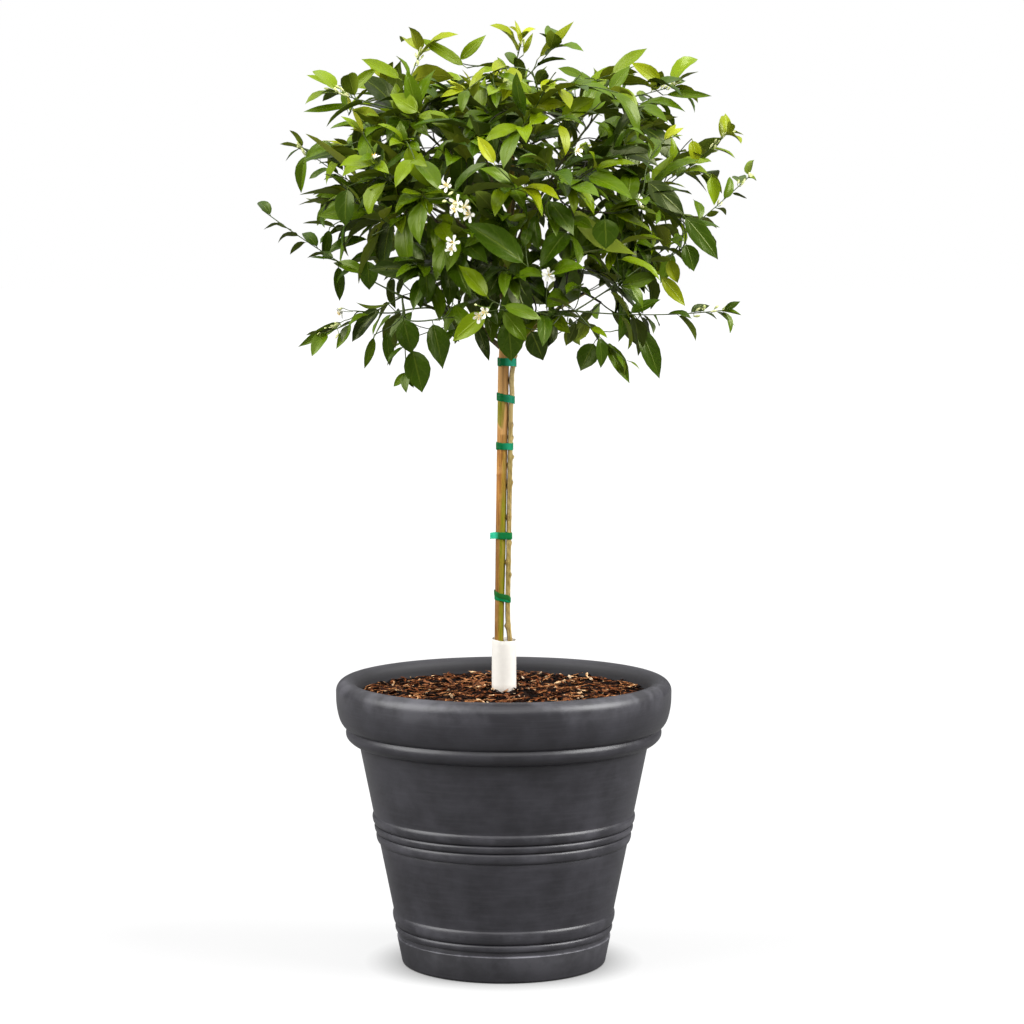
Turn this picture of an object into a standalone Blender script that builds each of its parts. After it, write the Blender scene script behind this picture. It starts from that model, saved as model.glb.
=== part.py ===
"""A young standard citrus tree in a rolled-rim planter, built piece by piece.

Metres, +Z up, the origin at the centre of the planter's flat underside. The
planter is a turned shell filled with potting mix. A straight trunk and a thin
second stem stand in a white guard sleeve, bound together by five green tapes.
Boughs leave the trunk inside the head and each ends where it enters its own
mass of leaves. Slim sprigs carry the outline out to its furthest tips.
"""
import math

import bmesh
import bpy
import numpy as np
from mathutils import Vector, noise

# Clearance that touching solids keep, and the swell of a cutter that leaves it.
GAP = 0.0003
CUT_CLEARANCE = 0.0004

# Planter: a cone with a foot band, two groups of beads, a collar and a rolled rim.
POT_HEIGHT = 0.479
RIM_RADIUS = 0.2805
RIM_ROLL_RADIUS = 0.0184
RIM_FULL_HEIGHT = 0.4525
RIM_UNDERSIDE = 0.3985
RIM_NOTCH_RADIUS = 0.2620
COLLAR_RADIUS = 0.2642
COLLAR_MIDDLE = 0.3915
COLLAR_BOTTOM = 0.3710
BODY_TOP_RADIUS = 0.2418
BODY_SLOPE = 0.2018
BEAD_RISE = 0.0034
MIDDLE_BEADS = (0.2545, 0.2367, 0.2231, 0.2045)
LOWER_BEADS = (0.0895, 0.0657, 0.0527)
FOOT_LIP_HEIGHT = 0.0462
FOOT_LIP_RADIUS = 0.1795
FOOT_RADIUS = 0.1722
FOOT_EDGE_HEIGHT = 0.0080
UNDERSIDE_RADIUS = 0.1655
WALL = 0.0100
FLOOR = 0.0120
POT_SIDES = 40

# Potting mix, topped with bark chips.
SOIL_TOP = 0.4520

# White guard sleeve: its rim is cut a little aslant, higher at the back and at the left.
SLEEVE_RADIUS = 0.0215
SLEEVE_WALL = 0.0012
SLEEVE_TOP = 0.5480
SLEEVE_BACK_SLANT = 0.0032
SLEEVE_LEFT_SLANT = 0.0022
SLEEVE_SIDES = 24

# Trunk: centre line at these heights, and its radius there.
TRUNK_FOOT = (-0.0088, 0.0010)
TRUNK_SHOULDER = (-0.0006, 0.0004)
TRUNK_LEAN_TOP = 1.000
TRUNK_TOP = 1.400
TRUNK_TOP_PLACE = (0.016, 0.004)
FLARE_RADIUS = 0.0104
FLARE_HEIGHT = 0.055
TRUNK_RADIUS_LOW = 0.0071
TRUNK_RADIUS_FORK = 0.0087
TRUNK_RADIUS_TOP = 0.0038
TRUNK_SIDES = 12

# Second stem: a thin knobby shoot beside the trunk, with a kink near its foot.
STEM_RADIUS = 0.0036
STEM_TIP_RADIUS = 0.0024
STEM_SIDES = 8
STEM_ROUTE = (
    (0.0152, -0.0010, SOIL_TOP + GAP),
    (0.0128, -0.0015, 0.515),
    (0.0066, -0.0020, 0.580),
    (0.0072, -0.0025, 0.650),
    (0.0084, -0.0015, 0.740),
    (0.0092, -0.0030, 0.790),
    (0.0104, -0.0035, 0.860),
    (0.0112, -0.0030, 0.930),
    (0.0146, -0.0020, 0.995),
    (0.0240, 0.0040, 1.035),
    (0.0750, 0.0350, 1.085),
    (0.1350, 0.0800, 1.120),
)

# Tapes round both stems: height of the middle, width, and drop from left to right.
TAPE_THICKNESS = 0.0008
TAPE_SLACK = 0.0005
TAPES = (
    (1.0087, 0.0130, 0.0004),
    (0.9500, 0.0125, 0.0022),
    (0.8695, 0.0115, 0.0002),
    (0.7200, 0.0108, 0.0006),
    (0.6180, 0.0130, 0.0030),
)
TAPE_WITH_TAIL = 4
TAPE_TAIL = 0.0095

# Rings of leaf masses: distance from the axis, height, first azimuth in degrees,
# half sizes (outward, sideways, upward), and the word for each place in the ring.
LEAF_RINGS = {
    "low": (0.200, 1.110, 35.0, (0.135, 0.190, 0.125),
            ("back_right", "back_left", "front_left", "front_right")),
    "middle": (0.240, 1.285, 8.0, (0.150, 0.190, 0.120),
               ("right", "back_right", "back_left", "front_left", "front_right")),
    "high": (0.185, 1.435, 20.0, (0.150, 0.170, 0.115),
             ("right", "back", "left", "front")),
}
TOP_MASS_PLACE = (0.010, 0.000, 1.450)
TOP_MASS_SIZE = (0.135, 0.135, 0.100)
LUMPINESS = 0.30
LUMP_SIZE = 0.085
MASS_DETAIL = 2

# Outer limit of the head: a broad ball, squarer than a true ellipsoid.
HEAD_MIDDLE = 1.268
HEAD_HALF_WIDTH = 0.386
HEAD_HALF_HEIGHT = 0.286
HEAD_SQUARENESS = 2.6

# Boughs: where each ring's boughs leave the trunk, and how thick they are.
BOUGH_FOOT = {"low": 1.028, "middle": 1.066, "high": 1.140}
BOUGH_STEP = 0.017
BOUGH_RADIUS = {"low": 0.0048, "middle": 0.0046, "high": 0.0036}
BOUGH_TAPER = 0.62
BOUGH_ELBOW = {"low": (0.062, 0.030), "middle": (0.046, 0.135), "high": (0.030, 0.135)}
BOUGH_SIDES = 6
BOUGH_STEPS = 7

# Sprigs: mass that carries each, its tip, and its half width at the thickest.
SPRIGS = {
    "sprig_leader": ("leaves_top", (0.031, 0.000, 1.5715), 0.024),
    "sprig_top_right": ("leaves_top", (0.107, -0.030, 1.560), 0.022),
    "sprig_top_left": ("leaves_high_left", (-0.130, -0.010, 1.543), 0.024),
    "sprig_upper_left": ("leaves_high_left", (-0.322, -0.070, 1.475), 0.034),
    "sprig_upper_right": ("leaves_high_right", (0.345, 0.055, 1.492), 0.036),
    "sprig_left_high": ("leaves_middle_back_left", (-0.358, 0.060, 1.385), 0.030),
    "sprig_left": ("leaves_middle_front_left", (-0.4145, -0.060, 1.272), 0.030),
    "sprig_right_high": ("leaves_middle_right", (0.386, -0.020, 1.410), 0.030),
    "sprig_right": ("leaves_middle_right", (0.4290, 0.045, 1.332), 0.030),
    "sprig_right_low": ("leaves_low_front_right", (0.385, -0.110, 1.105), 0.026),
    "sprig_low_left": ("leaves_low_front_left", (-0.338, -0.150, 1.048), 0.026),
    "sprig_hanging_left": ("leaves_low_front_left", (-0.152, -0.170, 0.968), 0.028),
    "sprig_hanging_right": ("leaves_low_front_right", (0.236, -0.120, 0.990), 0.028),
    "sprig_front": ("leaves_middle_front_right", (0.060, -0.412, 1.345), 0.034),
    "sprig_back": ("leaves_middle_back_right", (-0.040, 0.415, 1.325), 0.034),
    "sprig_back_low": ("leaves_low_back_right", (0.110, 0.340, 1.060), 0.030),
}
SPRIG_SIDES = 6
SPRIG_SHAPE = (0.70, 0.85, 1.00, 1.10, 1.10, 0.95, 0.80, 0.55, 0.12)
SPRIG_STEPS = len(SPRIG_SHAPE) - 1
SPRIG_RIPPLE = 0.18
SPRIG_SAG = 0.06

# Masses that the trunk and the second stem run into; a bough leads to each of the others.
TRUNK_MASS = "leaves_top"
STEM_MASS = "leaves_low_back_right"

COLOURS = {
    "planter_charcoal": ((0.055, 0.055, 0.062, 1.0), 0.42),
    "potting_mix": ((0.060, 0.032, 0.018, 1.0), 0.95),
    "sleeve_white": ((0.85, 0.84, 0.81, 1.0), 0.45),
    "bark": ((0.36, 0.24, 0.09, 1.0), 0.70),
    "tape_green": ((0.02, 0.16, 0.06, 1.0), 0.35),
    "foliage": ((0.05, 0.12, 0.02, 1.0), 0.50),
}


def material(name):
    """The named finish, a plain Principled surface made on first use."""
    made = bpy.data.materials.get(name)
    if made is None:
        made = bpy.data.materials.new(name)
        made.use_nodes = True
        shader = made.node_tree.nodes["Principled BSDF"]
        colour, roughness = COLOURS[name]
        shader.inputs["Base Color"].default_value = colour
        shader.inputs["Roughness"].default_value = roughness
        shader.inputs["Metallic"].default_value = 0.0
    return made


def add_object(name, bm, finish, sharp_angle=math.radians(40.0)):
    """Put a finished bmesh into the scene as one named, smooth-shaded object."""
    bmesh.ops.recalc_face_normals(bm, faces=bm.faces)
    mesh = bpy.data.meshes.new(name)
    bm.to_mesh(mesh)
    bm.free()
    mesh.materials.append(material(finish))
    mesh.shade_smooth()
    mesh.set_sharp_from_angle(angle=sharp_angle)
    placed = bpy.data.objects.new(name, mesh)
    bpy.context.scene.collection.objects.link(placed)
    return placed


def turned(profile, sides):
    """Spin a profile of (radius, height) points, which starts and ends on the axis."""
    bm = bmesh.new()
    line = [bm.verts.new((radius, 0.0, height)) for radius, height in profile]
    edges = [bm.edges.new(pair) for pair in zip(line[:-1], line[1:])]
    bmesh.ops.spin(bm, geom=line + edges, cent=(0, 0, 0), axis=(0, 0, 1),
                   angle=math.tau, steps=sides, use_merge=True)
    bmesh.ops.remove_doubles(bm, verts=bm.verts, dist=1e-6)
    return bm


def arc(centre, radius, start, end, steps, squash=1.0):
    """Points on a circular arc in the (radius, height) plane, angles in degrees."""
    turns = [math.radians(start + (end - start) * i / steps) for i in range(steps + 1)]
    return [(centre[0] + radius * math.cos(a), centre[1] + squash * radius * math.sin(a))
            for a in turns]


def body_radius(height):
    """Radius of the planter's plain cone at a height."""
    return BODY_TOP_RADIUS - BODY_SLOPE * (COLLAR_BOTTOM - height)


def beads(edges):
    """Half-round beads from the lowest edge up, each standing out from the cone."""
    points = []
    for low, high in zip(edges[::-1][:-1], edges[::-1][1:]):
        span = high - low
        for share, rise in ((0.0, 0.0), (0.2, 0.85), (0.5, 1.0), (0.8, 0.85)):
            height = low + share * span
            points.append((body_radius(height) + rise * BEAD_RISE, height))
    top = edges[0]
    return points + [(body_radius(top), top)]


def pot():
    """The planter: one turned shell with a floor, an open mouth and a rolled rim."""
    roll_centre = (RIM_RADIUS - RIM_ROLL_RADIUS, POT_HEIGHT - RIM_ROLL_RADIUS)
    inner_radius = roll_centre[0] - RIM_ROLL_RADIUS
    outside = [(0.0, 0.0), (UNDERSIDE_RADIUS, 0.0), (FOOT_RADIUS - 0.0016, FOOT_EDGE_HEIGHT / 4),
               (FOOT_RADIUS, FOOT_EDGE_HEIGHT), (FOOT_LIP_RADIUS, FOOT_LIP_HEIGHT - 0.0012),
               (FOOT_LIP_RADIUS - 0.0010, FOOT_LIP_HEIGHT)]
    outside += beads(LOWER_BEADS) + beads(MIDDLE_BEADS)
    outside += [(body_radius(COLLAR_BOTTOM - 0.001), COLLAR_BOTTOM - 0.001)]
    outside += [(COLLAR_RADIUS - 0.0105, COLLAR_BOTTOM + 0.0045),
                (COLLAR_RADIUS - 0.0020, COLLAR_BOTTOM + 0.0125),
                (COLLAR_RADIUS, COLLAR_MIDDLE), (RIM_NOTCH_RADIUS, RIM_UNDERSIDE)]
    outside += [(RIM_RADIUS - 0.0110, RIM_UNDERSIDE + 0.0070),
                (RIM_RADIUS - 0.0050, RIM_UNDERSIDE + 0.0190),
                (RIM_RADIUS - 0.0008, RIM_FULL_HEIGHT - 0.0140)]
    roll = arc(roll_centre, RIM_ROLL_RADIUS, 0.0, 180.0, 8)
    inside = [(inner_radius, RIM_FULL_HEIGHT - 0.020),
              (body_radius(COLLAR_BOTTOM) - WALL, COLLAR_BOTTOM),
              (body_radius(FLOOR) - WALL, FLOOR), (0.0, FLOOR)]
    add_object("pot", turned(outside + roll + inside, POT_SIDES), "planter_charcoal")


def soil():
    """Potting mix filling the shell, a hair clear of the wall and the floor."""
    inner_radius = RIM_RADIUS - 2 * RIM_ROLL_RADIUS
    clear = GAP / math.cos(math.pi / POT_SIDES)
    wall_line = ((body_radius(FLOOR) - WALL, FLOOR),
                 (body_radius(COLLAR_BOTTOM) - WALL, COLLAR_BOTTOM),
                 (inner_radius, RIM_FULL_HEIGHT - 0.020))
    profile = [(0.0, FLOOR + GAP), (wall_line[0][0] - 2 * clear, FLOOR + GAP)]
    profile += [(radius - 1.5 * clear, height) for radius, height in wall_line[1:]]
    profile += [(inner_radius - 1.5 * clear, SOIL_TOP), (0.0, SOIL_TOP)]
    add_object("soil", turned(profile, POT_SIDES), "potting_mix")


def trunk_centre(height):
    """The trunk's centre line: a slight lean to the fork, then on into the head."""
    foot, shoulder, top = (Vector(p) for p in (TRUNK_FOOT, TRUNK_SHOULDER, TRUNK_TOP_PLACE))
    if height <= TRUNK_LEAN_TOP:
        share = (height - SOIL_TOP) / (TRUNK_LEAN_TOP - SOIL_TOP)
        place = foot.lerp(shoulder, share ** 1.15)
    else:
        share = (height - TRUNK_LEAN_TOP) / (TRUNK_TOP - TRUNK_LEAN_TOP)
        place = shoulder.lerp(top, share)
    return Vector((place.x, place.y, height))


def trunk_radius(height):
    """The trunk's radius: root flare, a slim shaft, then a taper above the fork."""
    if height <= TRUNK_LEAN_TOP:
        share = (height - SOIL_TOP) / (TRUNK_LEAN_TOP - SOIL_TOP)
        shaft = TRUNK_RADIUS_LOW + (TRUNK_RADIUS_FORK - TRUNK_RADIUS_LOW) * share ** 0.7
        flare = max(0.0, 1.0 - (height - SOIL_TOP) / FLARE_HEIGHT) ** 2
        return shaft + (FLARE_RADIUS - TRUNK_RADIUS_LOW) * flare
    share = (height - TRUNK_LEAN_TOP) / (TRUNK_TOP - TRUNK_LEAN_TOP)
    return TRUNK_RADIUS_FORK + (TRUNK_RADIUS_TOP - TRUNK_RADIUS_FORK) * share ** 0.8


def limb(points, radii, sides):
    """A tapering tube with flat ends: rings of points set square to a path."""
    bm = bmesh.new()
    rings = []
    side_way = Vector((1.0, 0.0, 0.0))
    for i, (point, radius) in enumerate(zip(points, radii)):
        ahead = points[min(i + 1, len(points) - 1)] - points[max(i - 1, 0)]
        ahead.normalize()
        side_way = (side_way - ahead * side_way.dot(ahead)).normalized()
        other_way = ahead.cross(side_way)
        ring = []
        for k in range(sides):
            turn = math.tau * k / sides
            spoke = side_way * math.cos(turn) + other_way * math.sin(turn)
            ring.append(bm.verts.new(point + spoke * radius))
        rings.append(ring)
    for low, high in zip(rings[:-1], rings[1:]):
        for k in range(sides):
            after = (k + 1) % sides
            bm.faces.new((low[k], low[after], high[after], high[k]))
    bm.faces.new(rings[0][::-1])
    bm.faces.new(rings[-1])
    return bm


def flat_foot(bm, height):
    """Level the lowest ring of a limb, so that it stands on a flat cut."""
    low = min(v.co.z for v in bm.verts)
    for vert in bm.verts:
        if vert.co.z < low + 0.004:
            vert.co.z = height
    return bm


def trunk():
    """The trunk from its flat cut on the mix, up through the fork to its tip."""
    low_part = [SOIL_TOP + GAP, 0.466, 0.480, 0.508]
    shaft = list(np.linspace(0.56, TRUNK_LEAN_TOP, 7))
    head = list(np.linspace(TRUNK_LEAN_TOP + 0.06, TRUNK_TOP, 5))
    heights = [float(h) for h in low_part + shaft + head]
    bm = limb([trunk_centre(h) for h in heights], [trunk_radius(h) for h in heights],
              TRUNK_SIDES)
    return add_object("trunk", flat_foot(bm, SOIL_TOP + GAP), "bark")


def smooth_route(points, steps):
    """Points along a smooth curve through a short list of places (Catmull-Rom)."""
    places = [Vector(p) for p in points]
    padded = [2 * places[0] - places[1]] + places + [2 * places[-1] - places[-2]]
    route = []
    for i in range(1, len(padded) - 2):
        before, here, after, beyond = padded[i - 1:i + 3]
        for k in range(steps):
            t = k / steps
            route.append(0.5 * (2 * here + (after - before) * t
                                + (2 * before - 5 * here + 4 * after - beyond) * t * t
                                + (3 * here - before - 3 * after + beyond) * t ** 3))
    route.append(places[-1])
    return route


STEM_PATH = smooth_route(STEM_ROUTE, 2)


def stem_radius(height):
    """The second stem's radius, slimmer above the fork."""
    above = max(0.0, min(1.0, (height - TRUNK_LEAN_TOP) / 0.12))
    return STEM_RADIUS + (STEM_TIP_RADIUS - STEM_RADIUS) * above


def stem_centre(height):
    """Place of the second stem's centre line at a height below the fork."""
    for low, high in zip(STEM_PATH[:-1], STEM_PATH[1:]):
        if low.z <= height <= high.z:
            return low.lerp(high, (height - low.z) / (high.z - low.z))
    return STEM_PATH[0].copy()


def second_stem():
    """The thin second stem, from its flat cut on the mix into the low right mass."""
    bm = limb(STEM_PATH, [stem_radius(p.z) for p in STEM_PATH], STEM_SIDES)
    return add_object("second_stem", flat_foot(bm, SOIL_TOP + GAP), "bark")


def sleeve():
    """The guard sleeve: a thin tube round both stems with a slanting upper edge."""
    bm = bmesh.new()
    inner = SLEEVE_RADIUS - SLEEVE_WALL
    rings = []
    for radius, top in ((SLEEVE_RADIUS, False), (SLEEVE_RADIUS, True), (inner, True), (inner, False)):
        ring = []
        for k in range(SLEEVE_SIDES):
            turn = math.tau * k / SLEEVE_SIDES
            slant = SLEEVE_BACK_SLANT * math.sin(turn) - SLEEVE_LEFT_SLANT * math.cos(turn)
            height = SLEEVE_TOP + slant if top else SOIL_TOP + GAP
            ring.append(bm.verts.new((radius * math.cos(turn), radius * math.sin(turn), height)))
        rings.append(ring)
    for ring, after in zip(rings, rings[1:] + rings[:1]):
        for k in range(SLEEVE_SIDES):
            nxt = (k + 1) % SLEEVE_SIDES
            bm.faces.new((ring[k], ring[nxt], after[nxt], after[k]))
    add_object("trunk_sleeve", bm, "sleeve_white")


def belt_outline(height, offset, steps=5):
    """Outline of a belt round both stems at a height, clear of them by an offset."""
    left, right = trunk_centre(height), stem_centre(height)
    big, small = trunk_radius(height) + offset, stem_radius(height) + offset
    span = (right - left).to_2d()
    heading = math.atan2(span.y, span.x)
    lean = math.acos((big - small) / span.length)
    outline = []
    for centre, radius, start, end in ((left, big, lean, math.tau - lean),
                                       (right, small, -lean, lean)):
        step = (end - start) / steps
        reach = radius / math.cos(step / 2)
        for k in range(steps + 1):
            turn = heading + start + step * k
            outline.append((centre.x + reach * math.cos(turn), centre.y + reach * math.sin(turn)))
    return outline


def tape(number, height, width, drop):
    """One turn of tape round both stems; the fourth one keeps its loose end."""
    inner_offset = TAPE_SLACK
    outer_offset = TAPE_SLACK + TAPE_THICKNESS
    bm = bmesh.new()
    rings = []
    for offset, level in ((outer_offset, -0.5), (outer_offset, 0.5),
                          (inner_offset, 0.5), (inner_offset, -0.5)):
        base = height + level * width
        ring = []
        for x, y in belt_outline(base, offset):
            slope = -drop * (x - trunk_centre(height).x) / 0.012
            ring.append(bm.verts.new((x, y, base + slope)))
        rings.append(ring)
    count = len(rings[0])
    outer_faces = []
    for j, (ring, after) in enumerate(zip(rings, rings[1:] + rings[:1])):
        for k in range(count):
            nxt = (k + 1) % count
            face = bm.faces.new((ring[k], ring[nxt], after[nxt], after[k]))
            if j == 0:
                outer_faces.append(face)
    if number == TAPE_WITH_TAIL:
        bmesh.ops.recalc_face_normals(bm, faces=bm.faces)
        leftmost = min(outer_faces, key=lambda f: f.calc_center_median().x)
        grown = bmesh.ops.extrude_face_region(bm, geom=[leftmost])["geom"]
        for vert in (g for g in grown if isinstance(g, bmesh.types.BMVert)):
            vert.co.x -= TAPE_TAIL
            vert.co.y = 0.35 * vert.co.y
        bmesh.ops.delete(bm, geom=[leftmost], context="FACES_ONLY")
    add_object(f"tape_{number}", bm, "tape_green")


def leaf_places():
    """Name, ring, centre, half sizes and azimuth of every mass of leaves."""
    places = []
    for ring, (distance, height, first, sizes, words) in LEAF_RINGS.items():
        for k, word in enumerate(words):
            azimuth = math.radians(first + 360.0 * k / len(words))
            sway = 0.012 * math.sin(2.3 * k + height * 9.0)
            centre = Vector((distance * math.cos(azimuth), distance * math.sin(azimuth),
                             height + sway))
            places.append((f"leaves_{ring}_{word}", ring, centre, sizes, azimuth))
    places.append((TRUNK_MASS, "top", Vector(TOP_MASS_PLACE), TOP_MASS_SIZE, 0.0))
    return places


def head_reach(centre, way):
    """Distance from a place inside the head to its outer limit, in one direction."""
    near_end, far_end = 0.0, 1.0
    for _ in range(24):
        middle = (near_end + far_end) / 2
        spot = centre + way * middle
        width_share = math.hypot(spot.x, spot.y) / HEAD_HALF_WIDTH
        height_share = abs(spot.z - HEAD_MIDDLE) / HEAD_HALF_HEIGHT
        if width_share ** HEAD_SQUARENESS + height_share ** HEAD_SQUARENESS < 1.0:
            near_end = middle
        else:
            far_end = middle
    return near_end


def leaf_mass(name, centre, sizes, azimuth, neighbours):
    """One uneven mass: a lumpy ellipsoid, flattened where it meets its neighbours.

    Each vertex of a unit ball is pushed out to the ellipsoid's radius in its
    direction, or to the head's outer limit, times a slow noise. It stops at the
    plane half way to each neighbouring mass, so that no two masses overlap.
    """
    bm = bmesh.new()
    bmesh.ops.create_icosphere(bm, subdivisions=MASS_DETAIL, radius=1.0)
    outward = Vector((math.cos(azimuth), math.sin(azimuth), 0.0))
    sideways = Vector((-outward.y, outward.x, 0.0))
    upward = Vector((0.0, 0.0, 1.0))
    for vert in bm.verts:
        way = vert.co.normalized()
        spans = (way.dot(outward) / sizes[0], way.dot(sideways) / sizes[1], way.dot(upward) / sizes[2])
        reach = 1.0 / math.sqrt(sum(s * s for s in spans))
        reach = min(reach, head_reach(centre, way))
        reach *= 1.0 + LUMPINESS * noise.noise((centre + way * reach) / LUMP_SIZE)
        for other in neighbours:
            span = other - centre
            facing = way.dot(span.normalized())
            if facing > 0.05:
                reach = min(reach, (span.length / 2 - GAP) / facing)
        vert.co = centre + way * reach
    return add_object(name, bm, "foliage")


def swollen(mesh):
    """A cutter: a copy of a closed mesh grown by the clearance along its normals."""
    cutter_mesh = mesh.copy()
    for vert in cutter_mesh.vertices:
        vert.co = vert.co + vert.normal * CUT_CLEARANCE
    return cutter_mesh


def carve(target, others):
    """Cut other solids, with their clearance, out of a target and keep the mesh."""
    for other in others:
        cutter = bpy.data.objects.new("cutter", swollen(other.data))
        bpy.context.scene.collection.objects.link(cutter)
        boolean = target.modifiers.new("carve", "BOOLEAN")
        boolean.operation = "DIFFERENCE"
        boolean.object = cutter
        bpy.context.view_layer.update()
        evaluated = target.evaluated_get(bpy.context.evaluated_depsgraph_get())
        carved = bpy.data.meshes.new_from_object(evaluated)
        target.modifiers.clear()
        target.data = carved
        bpy.data.objects.remove(cutter)


def keep_piece_at(target, point):
    """Drop every loose piece of an object except the one that reaches a point."""
    bm = bmesh.new()
    bm.from_mesh(target.data)
    start = min(bm.verts, key=lambda v: (v.co - point).length)
    kept, edge_of_kept = {start}, [start]
    while edge_of_kept:
        vert = edge_of_kept.pop()
        for edge in vert.link_edges:
            other = edge.other_vert(vert)
            if other not in kept:
                kept.add(other)
                edge_of_kept.append(other)
    bmesh.ops.delete(bm, geom=[v for v in bm.verts if v not in kept], context="VERTS")
    bm.to_mesh(target.data)
    bm.free()


def near(one, other, margin=0.002):
    """Whether two objects' boxes come within a margin of each other."""
    for axis in range(3):
        a = [v.co[axis] for v in one.data.vertices]
        b = [v.co[axis] for v in other.data.vertices]
        if min(a) > max(b) + margin or min(b) > max(a) + margin:
            return False
    return True


def bent(start, elbow, end, steps):
    """Points on a quadratic curve that leaves start towards elbow and reaches end."""
    return [start.lerp(elbow, t).lerp(elbow.lerp(end, t), t)
            for t in (k / steps for k in range(steps + 1))]


def bough(name, ring, order, azimuth, mass_centre):
    """A tapering bough from the trunk's middle out into the middle of its mass."""
    foot_height = BOUGH_FOOT[ring] + BOUGH_STEP * order
    start = trunk_centre(foot_height)
    out, rise = BOUGH_ELBOW[ring]
    elbow = start + Vector((out * math.cos(azimuth), out * math.sin(azimuth), rise))
    points = bent(start, elbow, mass_centre, BOUGH_STEPS)
    base = BOUGH_RADIUS[ring]
    radii = [base * (1.0 - BOUGH_TAPER * k / BOUGH_STEPS) for k in range(BOUGH_STEPS + 1)]
    return add_object(name, limb(points, radii, BOUGH_SIDES), "bark")


def sprig(name, mass_centre, tip, half_width):
    """A slim spray of leaves: a bent spindle from inside its mass out to its tip."""
    span = tip - mass_centre
    elbow = mass_centre + span * 0.5 + Vector((0.0, 0.0, -SPRIG_SAG * span.length))
    points = bent(mass_centre, elbow, tip, SPRIG_STEPS)
    radii = [half_width * share * (1.0 + SPRIG_RIPPLE * math.sin(7.0 * k + 40.0 * half_width))
             for k, share in enumerate(SPRIG_SHAPE)]
    bm = limb(points, radii, SPRIG_SIDES)
    return add_object(name, bm, "foliage")


def build():
    """Clear the scene and put the whole plant together, from the planter up."""
    for old in list(bpy.data.objects):
        bpy.data.objects.remove(old)
    pot()
    soil()
    sleeve()
    trunk_object = trunk()
    stem_object = second_stem()
    for number, (height, width, drop) in enumerate(TAPES, start=1):
        tape(number, height, width, drop)

    places = leaf_places()
    centres = {name: centre for name, _, centre, _, _ in places}
    masses = {}
    for name, _, centre, sizes, azimuth in places:
        neighbours = [c for other, c in centres.items() if other != name]
        masses[name] = leaf_mass(name, centre, sizes, azimuth, neighbours)

    carve(trunk_object, [masses[TRUNK_MASS]])
    keep_piece_at(trunk_object, trunk_centre(SOIL_TOP))
    carve(stem_object, [masses[STEM_MASS]])
    keep_piece_at(stem_object, STEM_PATH[0])

    order = {ring: 0 for ring in LEAF_RINGS}
    for name, ring, centre, _, azimuth in places:
        if name in (TRUNK_MASS, STEM_MASS):
            continue
        limb_name = name.replace("leaves_", "bough_")
        made = bough(limb_name, ring, order[ring], azimuth, centre)
        order[ring] += 1
        carve(made, [trunk_object, masses[name]])

    for name, (carrier, tip, half_width) in SPRIGS.items():
        made = sprig(name, centres[carrier], Vector(tip), half_width)
        carve(made, [m for m in masses.values() if near(made, m)])
        keep_piece_at(made, Vector(tip))


build()
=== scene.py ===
import bpy
import numpy as np
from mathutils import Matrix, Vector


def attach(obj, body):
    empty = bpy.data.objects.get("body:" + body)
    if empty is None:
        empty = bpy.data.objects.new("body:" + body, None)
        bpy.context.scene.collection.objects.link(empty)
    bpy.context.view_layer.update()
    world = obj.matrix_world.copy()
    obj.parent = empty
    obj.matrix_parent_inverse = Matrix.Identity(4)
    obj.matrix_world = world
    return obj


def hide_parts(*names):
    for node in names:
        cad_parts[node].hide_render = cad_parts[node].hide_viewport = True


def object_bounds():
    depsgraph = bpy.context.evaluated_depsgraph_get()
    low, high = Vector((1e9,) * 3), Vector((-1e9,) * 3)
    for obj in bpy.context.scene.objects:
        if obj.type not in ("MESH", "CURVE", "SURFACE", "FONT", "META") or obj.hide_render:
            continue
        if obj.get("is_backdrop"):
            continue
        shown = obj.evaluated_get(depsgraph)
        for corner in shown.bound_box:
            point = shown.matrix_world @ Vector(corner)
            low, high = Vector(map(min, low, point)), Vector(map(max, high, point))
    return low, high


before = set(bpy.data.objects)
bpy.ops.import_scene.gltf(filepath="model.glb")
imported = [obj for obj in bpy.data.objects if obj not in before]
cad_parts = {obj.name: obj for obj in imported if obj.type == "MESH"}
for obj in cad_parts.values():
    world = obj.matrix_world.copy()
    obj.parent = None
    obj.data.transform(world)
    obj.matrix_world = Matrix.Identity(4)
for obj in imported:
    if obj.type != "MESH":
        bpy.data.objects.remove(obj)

cad_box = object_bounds()

# Planter. A moulded resin pot in satin charcoal: one turned shell with a foot band, two groups
# of rounded beads, a collar and a rolled rim. It stands on the floor and holds everything else.
POT_HEIGHT, RIM_RADIUS, RIM_ROLL = 0.479, 0.2805, 0.0184
RIM_UNDERSIDE, RIM_NOTCH = 0.3985, 0.2620
COLLAR_RADIUS, COLLAR_MIDDLE, COLLAR_BOTTOM = 0.2642, 0.3915, 0.3710
CONE_TOP_RADIUS, CONE_SLOPE = 0.2418, 0.2018
BEAD_RISE, GROOVE = 0.0036, 0.0013
MIDDLE_BEADS = (0.2045, 0.2231, 0.2367, 0.2545)
LOWER_BEADS = (0.0527, 0.0657, 0.0895)
FOOT_RADIUS, FOOT_LIP_RADIUS, FOOT_LIP_HEIGHT, UNDERSIDE_RADIUS = 0.1722, 0.1795, 0.0462, 0.1655
WALL, FLOOR_THICKNESS = 0.0100, 0.0120
POT_COLUMNS = 224
# How far the coat is paled on the beads and the rim, partly dusted and partly a painted highlight, and
# darkened as painted shade inside and on the foot.
BEAD_RUB_AND_HIGHLIGHT, RIM_RUB_AND_HIGHLIGHT, INSIDE_PAINTED_SHADE, FOOT_PAINTED_SHADE = 0.14, 0.22, 0.8, 0.35


def linear(colour):
    """An sRGB hex colour as linear RGBA, by the two branches of the sRGB curve."""
    share = np.array([int(colour[i:i + 2], 16) for i in (1, 3, 5)]) / 255.0
    share = np.where(share <= 0.04045, share / 12.92, ((share + 0.055) / 1.055) ** 2.4)
    return (*share.tolist(), 1.0)


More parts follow.
